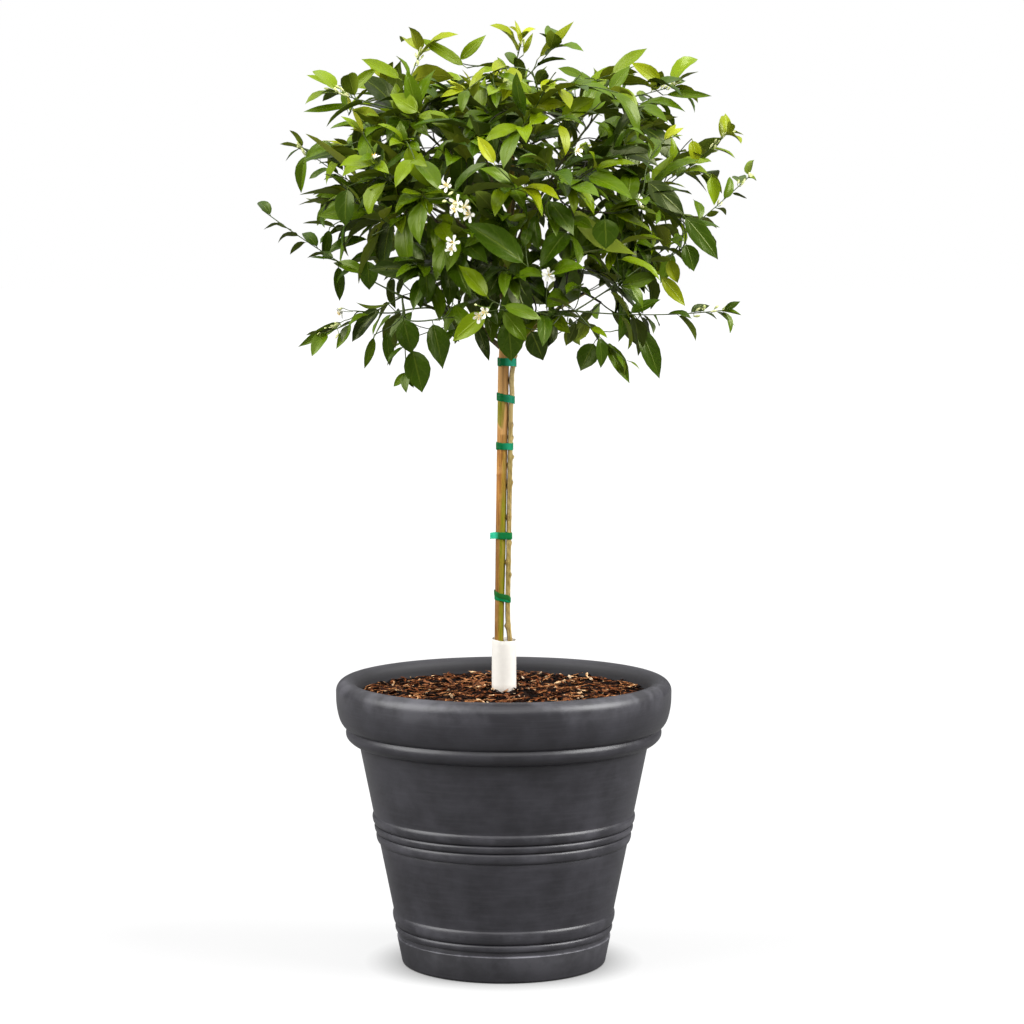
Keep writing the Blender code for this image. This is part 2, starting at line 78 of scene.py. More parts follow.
def add(tree, kind, inputs=None, out=0, **settings):
    """Add a shader node and give back one of its outputs. An input is a value, an output to link
    in, or a hex colour."""
    made = tree.nodes.new("ShaderNode" + kind)
    for name, value in settings.items():
        setattr(made, name, value)
    for socket, value in (inputs or {}).items():
        value = linear(value) if isinstance(value, str) else value
        if isinstance(value, bpy.types.NodeSocket):
            tree.links.new(value, made.inputs[socket])
        else:
            made.inputs[socket].default_value = value
    return made.outputs[out]


def finish(name, **constants):
    """A new material, with the values that are the same all over set on its Principled shader.
    Gives back its node tree, and a function that links outputs to the shader and gives back
    the material."""
    made = bpy.data.materials.new(name)
    made.use_nodes = True
    shader = made.node_tree.nodes["Principled BSDF"]
    for socket, value in constants.items():
        shader.inputs[socket.replace("_", " ")].default_value = value

    def link(**outputs):
        for socket, output in outputs.items():
            made.node_tree.links.new(output, shader.inputs[socket.replace("_", " ")])
        return made
    return made.node_tree, link


def circle(count):
    """Angles spaced evenly round a circle."""
    return 2 * np.pi * np.arange(count) / count


def curve_through(points, steps):
    """A smooth curve through places: between each two, the Catmull-Rom cubic of the four round them."""
    p = np.asarray(points, float)
    p = np.vstack([2 * p[0] - p[1], p, 2 * p[-1] - p[-2]])
    t = (np.arange(steps) / steps)[None, :, None]
    a, b, c, d = (p[i:len(p) - 3 + i, None] for i in range(4))
    cubic = 0.5 * (2 * b + (c - a) * t + (2 * a - 5 * b + 4 * c - d) * t ** 2
                   + (3 * b - a - 3 * c + d) * t ** 3)
    return np.vstack([cubic.reshape(-1, p.shape[1]), p[-2]])


def skin(grid, poles=None, loop=False):
    """Points, faces and UVs of a batch of surfaces that close round their columns.

    grid is (count, rows, columns, 3). poles, (count, 2, 3), are the points at which a fan closes
    the first and last row; with loop the last row joins the first instead, as on a ring.
    U runs once round the columns and V along the rows.
    """
    count, rows, columns = grid.shape[:3]
    size = rows * columns + (0 if poles is None else 2)
    points = grid.reshape(count, -1, 3)
    if poles is not None:
        points = np.concatenate([points, poles], axis=1)
    last = rows if loop else rows - 1
    i, j = (a.reshape(-1) for a in np.meshgrid(np.arange(last), np.arange(columns), indexing="ij"))
    low, high, after = i * columns, (i + 1) % rows * columns, (j + 1) % columns
    quads = np.stack([low + j, low + after, high + after, high + j], axis=1)
    u, v = j / columns, i / max(1, last)
    du, dv = 1.0 / columns, 1.0 / max(1, last)
    quad_uvs = np.stack([np.stack([u, v], 1), np.stack([u + du, v], 1),
                         np.stack([u + du, v + dv], 1), np.stack([u, v + dv], 1)], axis=1)
    faces, uvs = [quads], [quad_uvs]
    if poles is not None:
        k = np.arange(columns)
        after = (k + 1) % columns
        top = (rows - 1) * columns
        first_pole, last_pole = np.full(columns, size - 2), np.full(columns, size - 1)
        fans = np.vstack([np.stack([first_pole, after, k], 1),
                          np.stack([last_pole, top + k, top + after], 1)])
        ends = np.repeat([0.0, 1.0], columns)
        middle = np.stack([np.tile((k + 0.5) / columns, 2), ends], 1)
        sides = [np.stack([np.concatenate([a, b]), ends], 1)
                 for a, b in (((k + 1) / columns, k / columns), (k / columns, (k + 1) / columns))]
        faces.append(fans)
        uvs.append(np.stack([middle, *sides], axis=1))
    shift = (np.arange(count) * size)[:, None, None]
    faces = [(f[None] + shift).reshape(-1, f.shape[1]) for f in faces]
    uvs = [np.tile(w, (count, 1, 1)) for w in uvs]
    return points.reshape(-1, 3), faces, uvs


def make_piece(name, shape, finishes, stands_for=(), attributes=None, finish_of=None, sharp=50.0):
    """Turn (points, faces, UVs) into a finished piece that rides on the plant.

    faces and UVs are lists with one array for each number of corners. attributes are named
    numbers, one for each point, and the poles at the end may be left out, as 0; finish_of is the
    finish number of each face.
    """
    points, faces, uvs = shape
    mesh = bpy.data.meshes.new(name)
    corners = np.concatenate([f.reshape(-1) for f in faces])
    sizes = np.concatenate([np.full(len(f), f.shape[1]) for f in faces])
    mesh.vertices.add(len(points))
    mesh.vertices.foreach_set("co", np.asarray(points, np.float32).reshape(-1))
    mesh.loops.add(len(corners))
    mesh.polygons.add(len(sizes))
    mesh.polygons.foreach_set("loop_start", (np.cumsum(sizes) - sizes).astype(np.int32))
    mesh.polygons.foreach_set("vertices", corners.astype(np.int32))
    mesh.update(calc_edges=True)
    layer = mesh.uv_layers.new(name="surface")
    layer.data.foreach_set("uv", np.concatenate([w.reshape(-1) for w in uvs]).astype(np.float32))
    for label, values in (attributes or {}).items():
        padded = np.zeros(len(points), np.float32)
        padded[:np.size(values)] = np.reshape(values, -1)
        mesh.attributes.new(label, "FLOAT", "POINT").data.foreach_set("value", padded)
    for material in finishes:
        mesh.materials.append(material)
    if finish_of is not None:
        mesh.polygons.foreach_set("material_index", np.asarray(finish_of, np.int32))
    mesh.shade_smooth()
    mesh.set_sharp_from_angle(angle=np.radians(sharp))
    piece = bpy.data.objects.new(name, mesh)
    bpy.context.scene.collection.objects.link(piece)
    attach(piece, "root")
    if stands_for:
        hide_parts(*stands_for)


def cone_radius(height):
    """Radius of the planter's plain cone, which narrows evenly towards the foot."""
    return CONE_TOP_RADIUS - CONE_SLOPE * (COLLAR_BOTTOM - height)


def bead_group(edges, steps=11):
    """Outline of beads one above the other: each is half an ellipse that stands out from the cone,
    with a groove at its foot."""
    t = (1 - np.cos(np.pi * np.arange(steps) / steps)) / 2
    rise = (BEAD_RISE + GROOVE) * np.sqrt(1 - np.abs(2 * t - 1) ** 2.2) - GROOVE
    outline = []
    for low, high in zip(edges[:-1], edges[1:]):
        height = low + (high - low) * t
        outline.append(np.stack([cone_radius(height) + rise, height], 1))
    top = edges[-1]
    return np.vstack(outline + [[[cone_radius(top), top]]])


def pot_outline():
    """The planter's outline, (radius, height), up the outside, over the roll and down the inside."""
    foot = curve_through([(UNDERSIDE_RADIUS, 0.0), (FOOT_RADIUS - 0.0016, 0.0020),
                          (FOOT_RADIUS, 0.0080)], 4)
    lip = curve_through([(FOOT_LIP_RADIUS, FOOT_LIP_HEIGHT - 0.0022),
                         (FOOT_LIP_RADIUS - 0.0002, FOOT_LIP_HEIGHT - 0.0006),
                         (FOOT_LIP_RADIUS - 0.0012, FOOT_LIP_HEIGHT)], 3)
    groove = [(cone_radius(FOOT_LIP_HEIGHT) + 0.0002, FOOT_LIP_HEIGHT + 0.0012)]
    collar = curve_through([(cone_radius(COLLAR_BOTTOM), COLLAR_BOTTOM),
                            (COLLAR_RADIUS - 0.0105, COLLAR_BOTTOM + 0.0045),
                            (COLLAR_RADIUS - 0.0020, COLLAR_BOTTOM + 0.0125),
                            (COLLAR_RADIUS, COLLAR_MIDDLE), (RIM_NOTCH, RIM_UNDERSIDE)], 5)
    rim = curve_through([(RIM_NOTCH, RIM_UNDERSIDE + 0.0004), (RIM_RADIUS - 0.0110, RIM_UNDERSIDE + 0.0070),
                         (RIM_RADIUS - 0.0050, RIM_UNDERSIDE + 0.0190),
                         (RIM_RADIUS - 0.0008, RIM_UNDERSIDE + 0.0400),
                         (RIM_RADIUS, POT_HEIGHT - RIM_ROLL)], 6)
    turn = np.radians(np.linspace(0, 180, 25))[1:]
    middle = RIM_RADIUS - RIM_ROLL
    roll = np.stack([middle + RIM_ROLL * np.cos(turn), POT_HEIGHT - RIM_ROLL + RIM_ROLL * np.sin(turn)], 1)
    inside = curve_through([(middle - RIM_ROLL, RIM_UNDERSIDE + 0.034),
                            (cone_radius(COLLAR_BOTTOM) - WALL, COLLAR_BOTTOM),
                            (cone_radius(FLOOR_THICKNESS) - WALL, FLOOR_THICKNESS)], 4)
    body = [np.stack([cone_radius(h), h], 1) for h in (np.linspace(0.0935, 0.2005, 12),
                                                       np.linspace(0.2585, COLLAR_BOTTOM - 0.001, 12))]
    return np.vstack([foot, lip, groove, bead_group(LOWER_BEADS), body[0], bead_group(MIDDLE_BEADS),
                      body[1], collar, rim, roll, inside])


def turned(outline, columns):
    """Spin an outline round the Z axis: (r, z) becomes (r cos a, r sin a, z) for each column's angle."""
    a = circle(columns)
    r, z = outline[:, :1], outline[:, 1:]
    return np.stack([r * np.cos(a), r * np.sin(a), z + 0 * a], axis=2)[None]


def resin_finish():
    """Moulded resin with a charcoal coat polished by hand to a satin: clouded and faintly streaked round the
    pot, paled along the crowns of the beads, the edge of the lip and the top of the rim, partly dusted and
    partly a painted highlight; inside and round the foot it is unrubbed, rougher, and darkened as painted
    shade."""
    tree, link = finish("planter_resin", IOR=1.5)
    places = add(tree, "TexCoord", out="Object")
    surface = add(tree, "UVMap", uv_map="surface")
    # 1.6 m round by about 1.1 m of outline: streaks 90 mm long and 4 mm high.
    drawn = add(tree, "Mapping", {"Vector": surface, "Scale": (18.0, 280.0, 1.0)})
    streaks = add(tree, "TexNoise", {"Vector": drawn, "Scale": 1.0, "Detail": 5.0, "Roughness": 0.65})
    clouds = add(tree, "TexNoise", {"Vector": places, "Scale": 16.0, "Detail": 5.0, "Roughness": 0.62})
    waves, grain = (add(tree, "TexNoise", {"Vector": places, "Scale": scale, "Detail": 3.0})
                    for scale in (26.0, 900.0))
    dust_and_highlight, inner = (add(tree, "Attribute", out="Fac", attribute_name=label) for label in ("rub_and_highlight", "inner"))
    cloudy = add(tree, "MapRange", {"Value": clouds, "From Min": 0.38, "From Max": 0.64})
    brushed = add(tree, "MapRange", {"Value": streaks, "From Min": 0.45, "From Max": 0.8,
                                     "To Max": 0.28})
    worn = add(tree, "MapRange", {"Value": clouds, "From Min": 0.44, "From Max": 0.66,
                                  "To Min": 0.08, "To Max": 0.7})
    # Pale patches on the crowns, the lip and the rim top: partly dusted, partly a painted highlight.
    dust_and_highlight_patches = add(tree, "Math", {0: dust_and_highlight, 1: worn}, operation="MULTIPLY")
    base = "#232226"
    # 121114 is painted shade down the inside of the pot and round its foot.
    for share, colour in ((cloudy, "#302f34"), (brushed, "#46454b"), (dust_and_highlight_patches, "#8a8990"), (inner, "#121114")):
        base = add(tree, "Mix", {0: share, 6: base, 7: colour}, out=2, data_type="RGBA")
    rough = add(tree, "MapRange", {"Value": clouds, "From Min": 0.25, "From Max": 0.75,
                                   "To Min": 0.34, "To Max": 0.48})
    rough = add(tree, "Mix", {0: inner, 2: rough, 3: 0.85}, data_type="FLOAT")
    fine = add(tree, "Bump", {"Height": grain, "Distance": 0.00012, "Strength": 0.5})
    relief = add(tree, "Bump", {"Height": waves, "Distance": 0.0010, "Strength": 0.35,
                                "Normal": fine})
    return link(Base_Color=base, Roughness=rough, Normal=relief)


outline = pot_outline()
r, z = outline.T
# The crowns of the beads, the edge of the lip and the top of the rim are paled, partly as dust and partly as
# a painted highlight.
beads = np.clip((r - cone_radius(z) - 0.6 * BEAD_RISE) / (0.4 * BEAD_RISE), 0, 1)
beads *= z > FOOT_LIP_HEIGHT + 0.002
lip_rub_and_highlight = np.exp(-((z - FOOT_LIP_HEIGHT + 0.0008) / 0.0012) ** 2)
# Points of the outline counted inwards from the top of the rim.
steps_in = np.arange(len(z)) - np.argmax(z) - 1
crown = np.clip((z - POT_HEIGHT + 0.040) / 0.030, 0, 1) * np.clip(-steps_in / 3, 0, 1)
rub_and_highlight = np.where(z < COLLAR_BOTTOM, np.maximum(BEAD_RUB_AND_HIGHLIGHT * beads, lip_rub_and_highlight), 0.0)
rub_and_highlight = np.maximum(rub_and_highlight, RIM_RUB_AND_HIGHLIGHT * crown)
# Painted shade: darker down the inside of the pot and round the foot.
inner = np.maximum(INSIDE_PAINTED_SHADE * np.clip(steps_in / 8, 0, 1), FOOT_PAINTED_SHADE * (z < FOOT_LIP_HEIGHT - 0.002))
pot_poles = np.array([[[0, 0, 0.0], [0, 0, FLOOR_THICKNESS]]])
make_piece("planter_shell", skin(turned(outline, POT_COLUMNS), pot_poles), [resin_finish()],
           ["pot"], {"rub_and_highlight": np.repeat(rub_and_highlight, POT_COLUMNS), "inner": np.repeat(inner, POT_COLUMNS)},
           sharp=42.0)

# Potting mix. Damp peat fills the planter, topped with shredded bark: fine crumbs, torn slivers
# and curled strands, flat chips and a few grains of pumice, all lying loose as they were tipped in.
MIX_TOP, MIX_RADIUS, MIX_CLEAR = 0.4525, 0.2424, 0.0255
# Kinds of bark: pieces, length, width and thickness in metres, bow, steepest slope, lift, shades.
BARK = {
    "crumbs": (2100, 0.0062, 0.0030, 0.0021, 0.05, 35.0, (-0.0015, 0.0012), ("#030201", "#100704")),
    "slivers_dark": (1000, 0.0140, 0.0031, 0.0018, 0.16, 20.0, (-0.001, 0.0030), ("#060302", "#261107")),
    "slivers_russet": (500, 0.0170, 0.0032, 0.0018, 0.30, 20.0, (0.0, 0.0038), ("#220f07", "#7b4524")),
    "slivers_tan": (125, 0.0120, 0.0028, 0.0016, 0.26, 20.0, (0.001, 0.0042), ("#68411f", "#e2bb8e")),
    "strands": (150, 0.0300, 0.0020, 0.0014, 0.70, 14.0, (0.0020, 0.0050), ("#46230f", "#b87e50")),
    "chips": (160, 0.0130, 0.0076, 0.0019, 0.05, 28.0, (0.0, 0.0036), ("#241109", "#7e4f30")),
}
# Grains of pumice: how many, then the same measures.
PUMICE = (46, 2.6 * 0.0015, 2.4 * 0.0015, 1.9 * 0.0015, 0.0, 40.0, (0.004, 0.006))
SLEEVE_CLEAR = 0.0218
scatter = np.random.default_rng(41)


def unit(v):
    """Vectors scaled to length one."""
    return v / np.maximum(np.linalg.norm(v, axis=-1, keepdims=True), 1e-12)


def ripples(x, y, waves=28, finest=0.010, coarsest=0.075):
    """An uneven ground, about -1..1: a sum of cosines with drawn headings, lengths and phases."""
    draw = np.random.default_rng(7)
    heading, phase = draw.uniform(0, 2 * np.pi, (2, waves))
    length = np.geomspace(finest, coarsest, waves)
    along = x[..., None] * np.cos(heading) + y[..., None] * np.sin(heading)
    return (np.cos(2 * np.pi * along / length + phase) * length ** 0.4).sum(-1) / (length ** 0.4).sum() * 3.0


def mix_height(x, y):
    """Height of the mix: nearly level, with a bell-shaped bank against the sleeve."""
    bank = 0.0085 * np.exp(-(np.maximum(np.hypot(x, y) - 0.022, 0) / 0.022) ** 2)
    return MIX_TOP + bank + 0.0030 * ripples(x, y)


def tubes(paths, radii, sides):
    """Rings of points round many paths at once: (tubes, rings, sides, 3).

    The first spoke of a ring is the axis least in line with its path, squared up to the path's
    heading; the second is heading x first. A point is centre + radius * (cos, sin) of the two.
    """
    heading = unit(np.gradient(paths, axis=1))
    chord = np.abs(paths[:, -1] - paths[:, 0])
    first = np.eye(3)[chord.argmin(axis=1)][:, None]
    first = unit(first - (first * heading).sum(-1, keepdims=True) * heading)
    second = np.cross(heading, first)
    turn = circle(sides)
    spokes = first[:, :, None] * np.cos(turn)[:, None] + second[:, :, None] * np.sin(turn)[:, None]
    return paths[:, :, None] + np.asarray(radii).reshape(*paths.shape[:2], -1, 1) * spokes


def shredded_finish(name, dark, light):
    """Shredded bark, peat or pumice: matt and fibrous, 1 mm strands, darker where it is damp."""
    tree, link = finish(name, Roughness=0.75, IOR=1.3, Specular_IOR_Level=0.15)
    places = add(tree, "TexCoord", out="Object")
    fibres, damp = (add(tree, "TexNoise", {"Vector": places, "Scale": scale, "Detail": 3.0})
                    for scale in (900.0, 130.0))
    drier = add(tree, "MapRange", {"Value": damp, "From Min": 0.40, "From Max": 0.62})
    share = add(tree, "Math", {0: drier, 1: fibres}, operation="MULTIPLY")
    share = add(tree, "MapRange", {"Value": share, "From Min": 0.05, "From Max": 0.5})
    base = add(tree, "Mix", {0: share, 6: dark, 7: light}, out=2, data_type="RGBA")
    return link(Base_Color=base, Normal=add(tree, "Bump", {"Height": fibres, "Distance": 0.0006}))


def scattered(count):
    """Places over the mix, between the sleeve and the wall, spread evenly by area."""
    r = np.sqrt(scatter.uniform(MIX_CLEAR ** 2, (MIX_RADIUS - 0.006) ** 2, count))
    a = scatter.uniform(0, 2 * np.pi, count)
    return r * np.cos(a), r * np.sin(a)


def bark_litter(count, length, width, thickness, bow, steepest, lift, rings=5, sides=5):
    """Torn bark: bent spindles of uneven rings, squeezed to their thickness, lying at random.

    A piece's middle line is a chord plus a parabola of the bow sideways; its radius is a profile
    with drawn dents; what lies off its flat side is scaled by thickness / width.
    """
    x, y = scattered(count)
    lengths = length * np.exp(scatter.normal(0, 0.35, count))
    widths = width * np.exp(scatter.normal(0, 0.30, count)) / 1.6
    a = scatter.uniform(0, 2 * np.pi, count)
    slope = np.radians(scatter.uniform(-steepest, steepest, count))
    heading = np.stack([np.cos(a) * np.cos(slope), np.sin(a) * np.cos(slope), np.sin(slope)], 1)
    across = unit(np.cross(heading, [0, 0, 1.0]))
    flat = unit(np.cross(across, heading) + across * scatter.normal(0, 0.35, (count, 1)))
    t = np.linspace(-0.5, 0.5, rings)
    arch = scatter.normal(0, bow, (count, 1)) * (1 - 4 * t ** 2) * lengths[:, None]
    path = heading[:, None] * (t * lengths[:, None])[..., None] + across[:, None] * arch[..., None]
    profile = (1.05 - (2 * np.abs(t)) ** 3 * 0.7) * scatter.uniform(0.65, 1.3, (count, rings))
    ring = tubes(path, profile * widths[:, None], sides)
    off = ((ring - path[:, :, None]) * flat[:, None, None]).sum(-1, keepdims=True)
    ring = ring - off * flat[:, None, None] * (1 - thickness / width)
    height = mix_height(x, y) + scatter.uniform(*lift, count) + 0.3 * lengths * np.abs(heading[:, 2])
    seat = np.stack([x, y, height], 1)[:, None]
    ring, ends = ring + seat[:, None], path[:, [0, -1]] * 1.12 + seat
    clear = np.hypot(ring[..., 0], ring[..., 1]).min(axis=(1, 2)) > SLEEVE_CLEAR
    points, faces, uvs = skin(ring[clear], ends[clear])
    r = np.hypot(points[:, 0], points[:, 1])
    points[:, :2] *= np.minimum((MIX_RADIUS - 0.0005) / r, 1)[:, None]
    return points, faces, uvs


mix_r = np.concatenate([[0.16, cone_radius(COLLAR_BOTTOM) - WALL - 0.002, MIX_RADIUS],
                        np.linspace(MIX_RADIUS, 0.004, 60)])
mix_z = np.concatenate([[FLOOR_THICKNESS + 0.0005, COLLAR_BOTTOM, 0.440], np.zeros(60)])
mix_grid = turned(np.stack([mix_r, mix_z], 1), 160)
top = mix_grid[0, 3:]
mix_grid[0, 3:, :, 2] = mix_height(top[..., 0], top[..., 1])
mix_poles = np.array([[[0, 0, FLOOR_THICKNESS + 0.0005], [0, 0, mix_grid[0, -1, :, 2].mean()]]])
make_piece("potting_mix_bed", skin(mix_grid, mix_poles), [shredded_finish("damp_peat", "#0b0503", "#23130b")],
           ["soil"])
for kind, (*measures, shades) in BARK.items():
    make_piece(f"bark_{kind}", bark_litter(*measures), [shredded_finish(f"pine_bark_{kind}", *shades)],
               sharp=70.0)
make_piece("pumice_grains", bark_litter(*PUMICE), [shredded_finish("pumice", "#8d7458", "#c9b193")])

# Guard sleeve. A piece of white polyethylene tube, slipped round the foot of both stems against
# trimmers. Its upper end is cut a little aslant by hand and its foot stands in the bark.
SLEEVE_RADIUS, SLEEVE_WALL, SLEEVE_FOOT, SLEEVE_TOP = 0.0206, 0.0012, 0.4523, 0.5458
SLEEVE_SLANT, SLEEVE_ASIDE, SLEEVE_COLUMNS = 0.0012, 0.0006, 96


def sleeve_finish():
    """White polyethylene: smooth and waxy, faintly clouded, splashed brown where it meets the bark."""
    tree, link = finish("sleeve_polyethylene", IOR=1.51)
    places = add(tree, "TexCoord", out="Object")
    clouds = add(tree, "TexNoise", {"Vector": places, "Scale": 120.0, "Detail": 4.0})
    swell = add(tree, "TexNoise", {"Vector": places, "Scale": 60.0, "Detail": 2.0})
    height = add(tree, "SeparateXYZ", {0: places}, out="Z")
    low = add(tree, "MapRange", {"Value": height, "From Min": 0.460, "From Max": 0.472,
                                 "To Min": 0.8, "To Max": 0.0})
    splash = add(tree, "Math", {0: low, 1: clouds}, operation="MULTIPLY")
    base = "#e2dfd8"
    for share, colour in ((clouds, "#d3cfc7"), (splash, "#8a6a4b")):
        base = add(tree, "Mix", {0: share, 6: base, 7: colour}, out=2, data_type="RGBA")
    rough = add(tree, "MapRange", {"Value": clouds, "To Min": 0.30, "To Max": 0.55})
    return link(Base_Color=base, Roughness=rough,
                Normal=add(tree, "Bump", {"Height": swell, "Distance": 0.0006, "Strength": 0.5}))


def sleeve_grid():
    """A ring section, (out, up) with rounded edges, carried round; the top edge is a plane cut
    that tips by the sine and cosine of the angle, and the wall swells by a slow wave of 0.3 mm."""
    a = circle(SLEEVE_COLUMNS)
    inner = SLEEVE_RADIUS - SLEEVE_WALL
    up = np.concatenate([np.linspace(0, 0.985, 14), [1.0, 1.0], np.linspace(0.985, 0, 14)])
    out = np.concatenate([np.full(14, SLEEVE_RADIUS), [SLEEVE_RADIUS - 0.0003, inner + 0.0003],
                          np.full(14, inner)])
    top = SLEEVE_TOP + SLEEVE_SLANT * np.sin(a) - SLEEVE_SLANT * np.cos(a) + 0.0003 * np.sin(5 * a + 1)
    z = SLEEVE_FOOT + up[:, None] * (top - SLEEVE_FOOT)
    r = out[:, None] - 0.00015 * (1 + np.sin(3 * a + 40 * (z - SLEEVE_FOOT)))
    return np.stack([SLEEVE_ASIDE + r * np.cos(a), r * np.sin(a), z], axis=2)[None]


make_piece("guard_sleeve_tube", skin(sleeve_grid(), loop=True), [sleeve_finish()], ["trunk_sleeve"])

# Trunk. One straight stem of young wood, flat cut on the mix, with a slight lean, a root flare in
# the sleeve and a taper above the fork. The bark is tan and finely ribbed, still green in places.
TRUNK_FOOT, TRUNK_SHOULDER, TRUNK_TIP = (-0.0088, 0.0010), (-0.0006, 0.0004), (0.016, 0.004)
TRUNK_BASE, LEAN_START, FORK_HEIGHT, TRUNK_TOP = 0.4523, 0.452, 1.000, 1.400
RADIUS_LOW, RADIUS_FORK, RADIUS_TOP, FLARE_RADIUS, FLARE_HEIGHT = 0.0071, 0.0087, 0.0038, 0.0098, 0.055
TRUNK_RINGS, TRUNK_COLUMNS = 620, 40
# Relief of the bark: heights of its ribs and its dots, in radii, and how many dots there are.
RIB_HEIGHT, DOT_HEIGHT, DOTS = 0.008, 0.040, 70


def trunk_centre(height):
    """Centre line: a lean that eases up to the fork, then a straight run on into the head."""
    z = np.asarray(height, float)
    low = np.clip((z - LEAN_START) / (FORK_HEIGHT - LEAN_START), 0, 1) ** 1.15
    high = np.clip((z - FORK_HEIGHT) / (TRUNK_TOP - FORK_HEIGHT), 0, 2)
    foot, shoulder, tip = (np.array(p) for p in (TRUNK_FOOT, TRUNK_SHOULDER, TRUNK_TIP))
    xy = foot + (shoulder - foot) * low[..., None] + (tip - shoulder) * high[..., None]
    return np.concatenate([xy, z[..., None]], axis=-1)


def trunk_radius(height):
    """Radius: a root flare that dies out by its square, a slim shaft, a taper above the fork."""
    z = np.asarray(height, float)
    low = np.clip((z - LEAN_START) / (FORK_HEIGHT - LEAN_START), 0, 1)
    high = np.clip((z - FORK_HEIGHT) / (TRUNK_TOP - FORK_HEIGHT), 0, 1)
    flare = np.clip(1 - (z - LEAN_START) / FLARE_HEIGHT, 0, 1) ** 2
    shaft = RADIUS_LOW + (RADIUS_FORK - RADIUS_LOW) * low ** 0.7
    return shaft + (FLARE_RADIUS - RADIUS_LOW) * flare + (RADIUS_TOP - RADIUS_FORK) * high ** 0.8


def bark_relief(turn, z, ribs, seed):
    """Relief of young bark, in radii: ribs that wander as they climb, and raised corky dots.

    The ribs are cosines of ribs * angle with a phase that drifts along the stem; the dots are
    small bells on (angle, height), set at drawn places.
    """
    draw = np.random.default_rng(seed)
    relief = np.zeros(np.broadcast(turn, z).shape)
    for k in range(5):
        drift = draw.uniform(0, 2 * np.pi) + draw.uniform(2, 9) * np.sin(z * draw.uniform(5, 16) + k)
        relief += RIB_HEIGHT * np.cos((ribs + 3 * k) * turn + drift) / (1 + 0.4 * k)
    for _ in range(DOTS):
        at_turn, at_z = draw.uniform(-np.pi, np.pi), draw.uniform(z.min(), z.max())
        near_turn = (turn - at_turn + np.pi) % (2 * np.pi) - np.pi
        relief += DOT_HEIGHT * np.exp(-(near_turn / 0.16) ** 2 - ((z - at_z) / 0.0016) ** 2)
    return relief


def strip(turn, z, middle, half_width, low, high, soft=0.02):
    """A streak along a stem: 1 within half_width of an angle between two heights, 0 beyond."""
    off = np.abs((turn - middle + np.pi) % (2 * np.pi) - np.pi)
    sides = 1 / (1 + np.exp(np.clip((off - half_width) / 0.10, -40, 40)))
    ends = np.clip((z - low) / soft + 0.5, 0, 1) * np.clip((high - z) / soft + 0.5, 0, 1)
    return sides * ends


def bark_finish(name, tan, brown, pale, olive):
    """Young citrus bark: satin, streaked along the stem every 1 to 2 mm; green where it is thin (the
    attribute green), pale round the green and where light is painted on (bleached), dark in cracks and where
    shade is painted on (shade)."""
    tree, link = finish(name, IOR=1.34, Specular_IOR_Level=0.3)
    places = add(tree, "TexCoord", out="Object")
    # Streaks 1.5 mm wide and 40 mm long, drawn out along the stem.
    drawn = add(tree, "Mapping", {"Vector": places, "Scale": (650.0, 650.0, 26.0)})
    streaks = add(tree, "TexNoise", {"Vector": drawn, "Scale": 1.0, "Detail": 4.0, "Roughness": 0.6})
    patches = add(tree, "TexNoise", {"Vector": places, "Scale": 38.0, "Detail": 3.0})
    flecks = add(tree, "TexNoise", {"Vector": places, "Scale": 1100.0, "Detail": 2.0})
    green, bleached_and_lit, shade = (add(tree, "Attribute", out="Fac", attribute_name=label)
                              for label in ("green", "bleached_and_lit", "shade"))
    streaky = add(tree, "MapRange", {"Value": streaks, "From Min": 0.42, "From Max": 0.58})
    patchy = add(tree, "MapRange", {"Value": patches, "From Min": 0.52, "From Max": 0.75, "To Max": 0.6})
    flecked = add(tree, "MapRange", {"Value": flecks, "From Min": 0.62, "From Max": 0.75, "To Max": 0.4})
    base = brown
    for share, colour in ((streaky, tan), (patchy, pale), (bleached_and_lit, pale)):
        base = add(tree, "Mix", {0: share, 6: base, 7: colour}, out=2, data_type="RGBA")
    mossy = olive
    for share, colour in ((streaky, base), (0.65, olive)):
        mossy = add(tree, "Mix", {0: share, 6: mossy, 7: colour}, out=2, data_type="RGBA")
    for share, colour in ((green, mossy), (flecked, brown), (shade, "#1c120a")):
        base = add(tree, "Mix", {0: share, 6: base, 7: colour}, out=2, data_type="RGBA")
    rough = add(tree, "MapRange", {"Value": patches, "To Min": 0.40, "To Max": 0.64})
    return link(Base_Color=base, Roughness=rough,
                Normal=add(tree, "Bump", {"Height": streaks, "Distance": 0.0004, "Strength": 0.8}))


trunk_z = np.linspace(TRUNK_BASE, TRUNK_TOP, TRUNK_RINGS)
trunk_path = trunk_centre(trunk_z)
turn = circle(TRUNK_COLUMNS)
relief = bark_relief(turn[None], trunk_z[:, None], 9, 3)
trunk_grid = tubes(trunk_path[None], trunk_radius(trunk_z)[:, None] * (1 + relief), TRUNK_COLUMNS)[0]
spoke = trunk_grid - trunk_path[:, None]
facing = np.arctan2(spoke[..., 1], spoke[..., 0])
# The shaft is a little oval, wider towards its neighbour.
trunk_grid[..., 0] += 0.0007 * np.exp(-(facing / 0.9) ** 2) * np.clip((trunk_z[:, None] - 0.60) / 0.1, 0, 1)
trunk_grid[0, :, 2] = TRUNK_BASE
height = trunk_z[:, None] + 0 * facing
wander = 0.25 * np.sin(height * 23.0) + 0.12 * np.sin(height * 61.0 + 1.0)
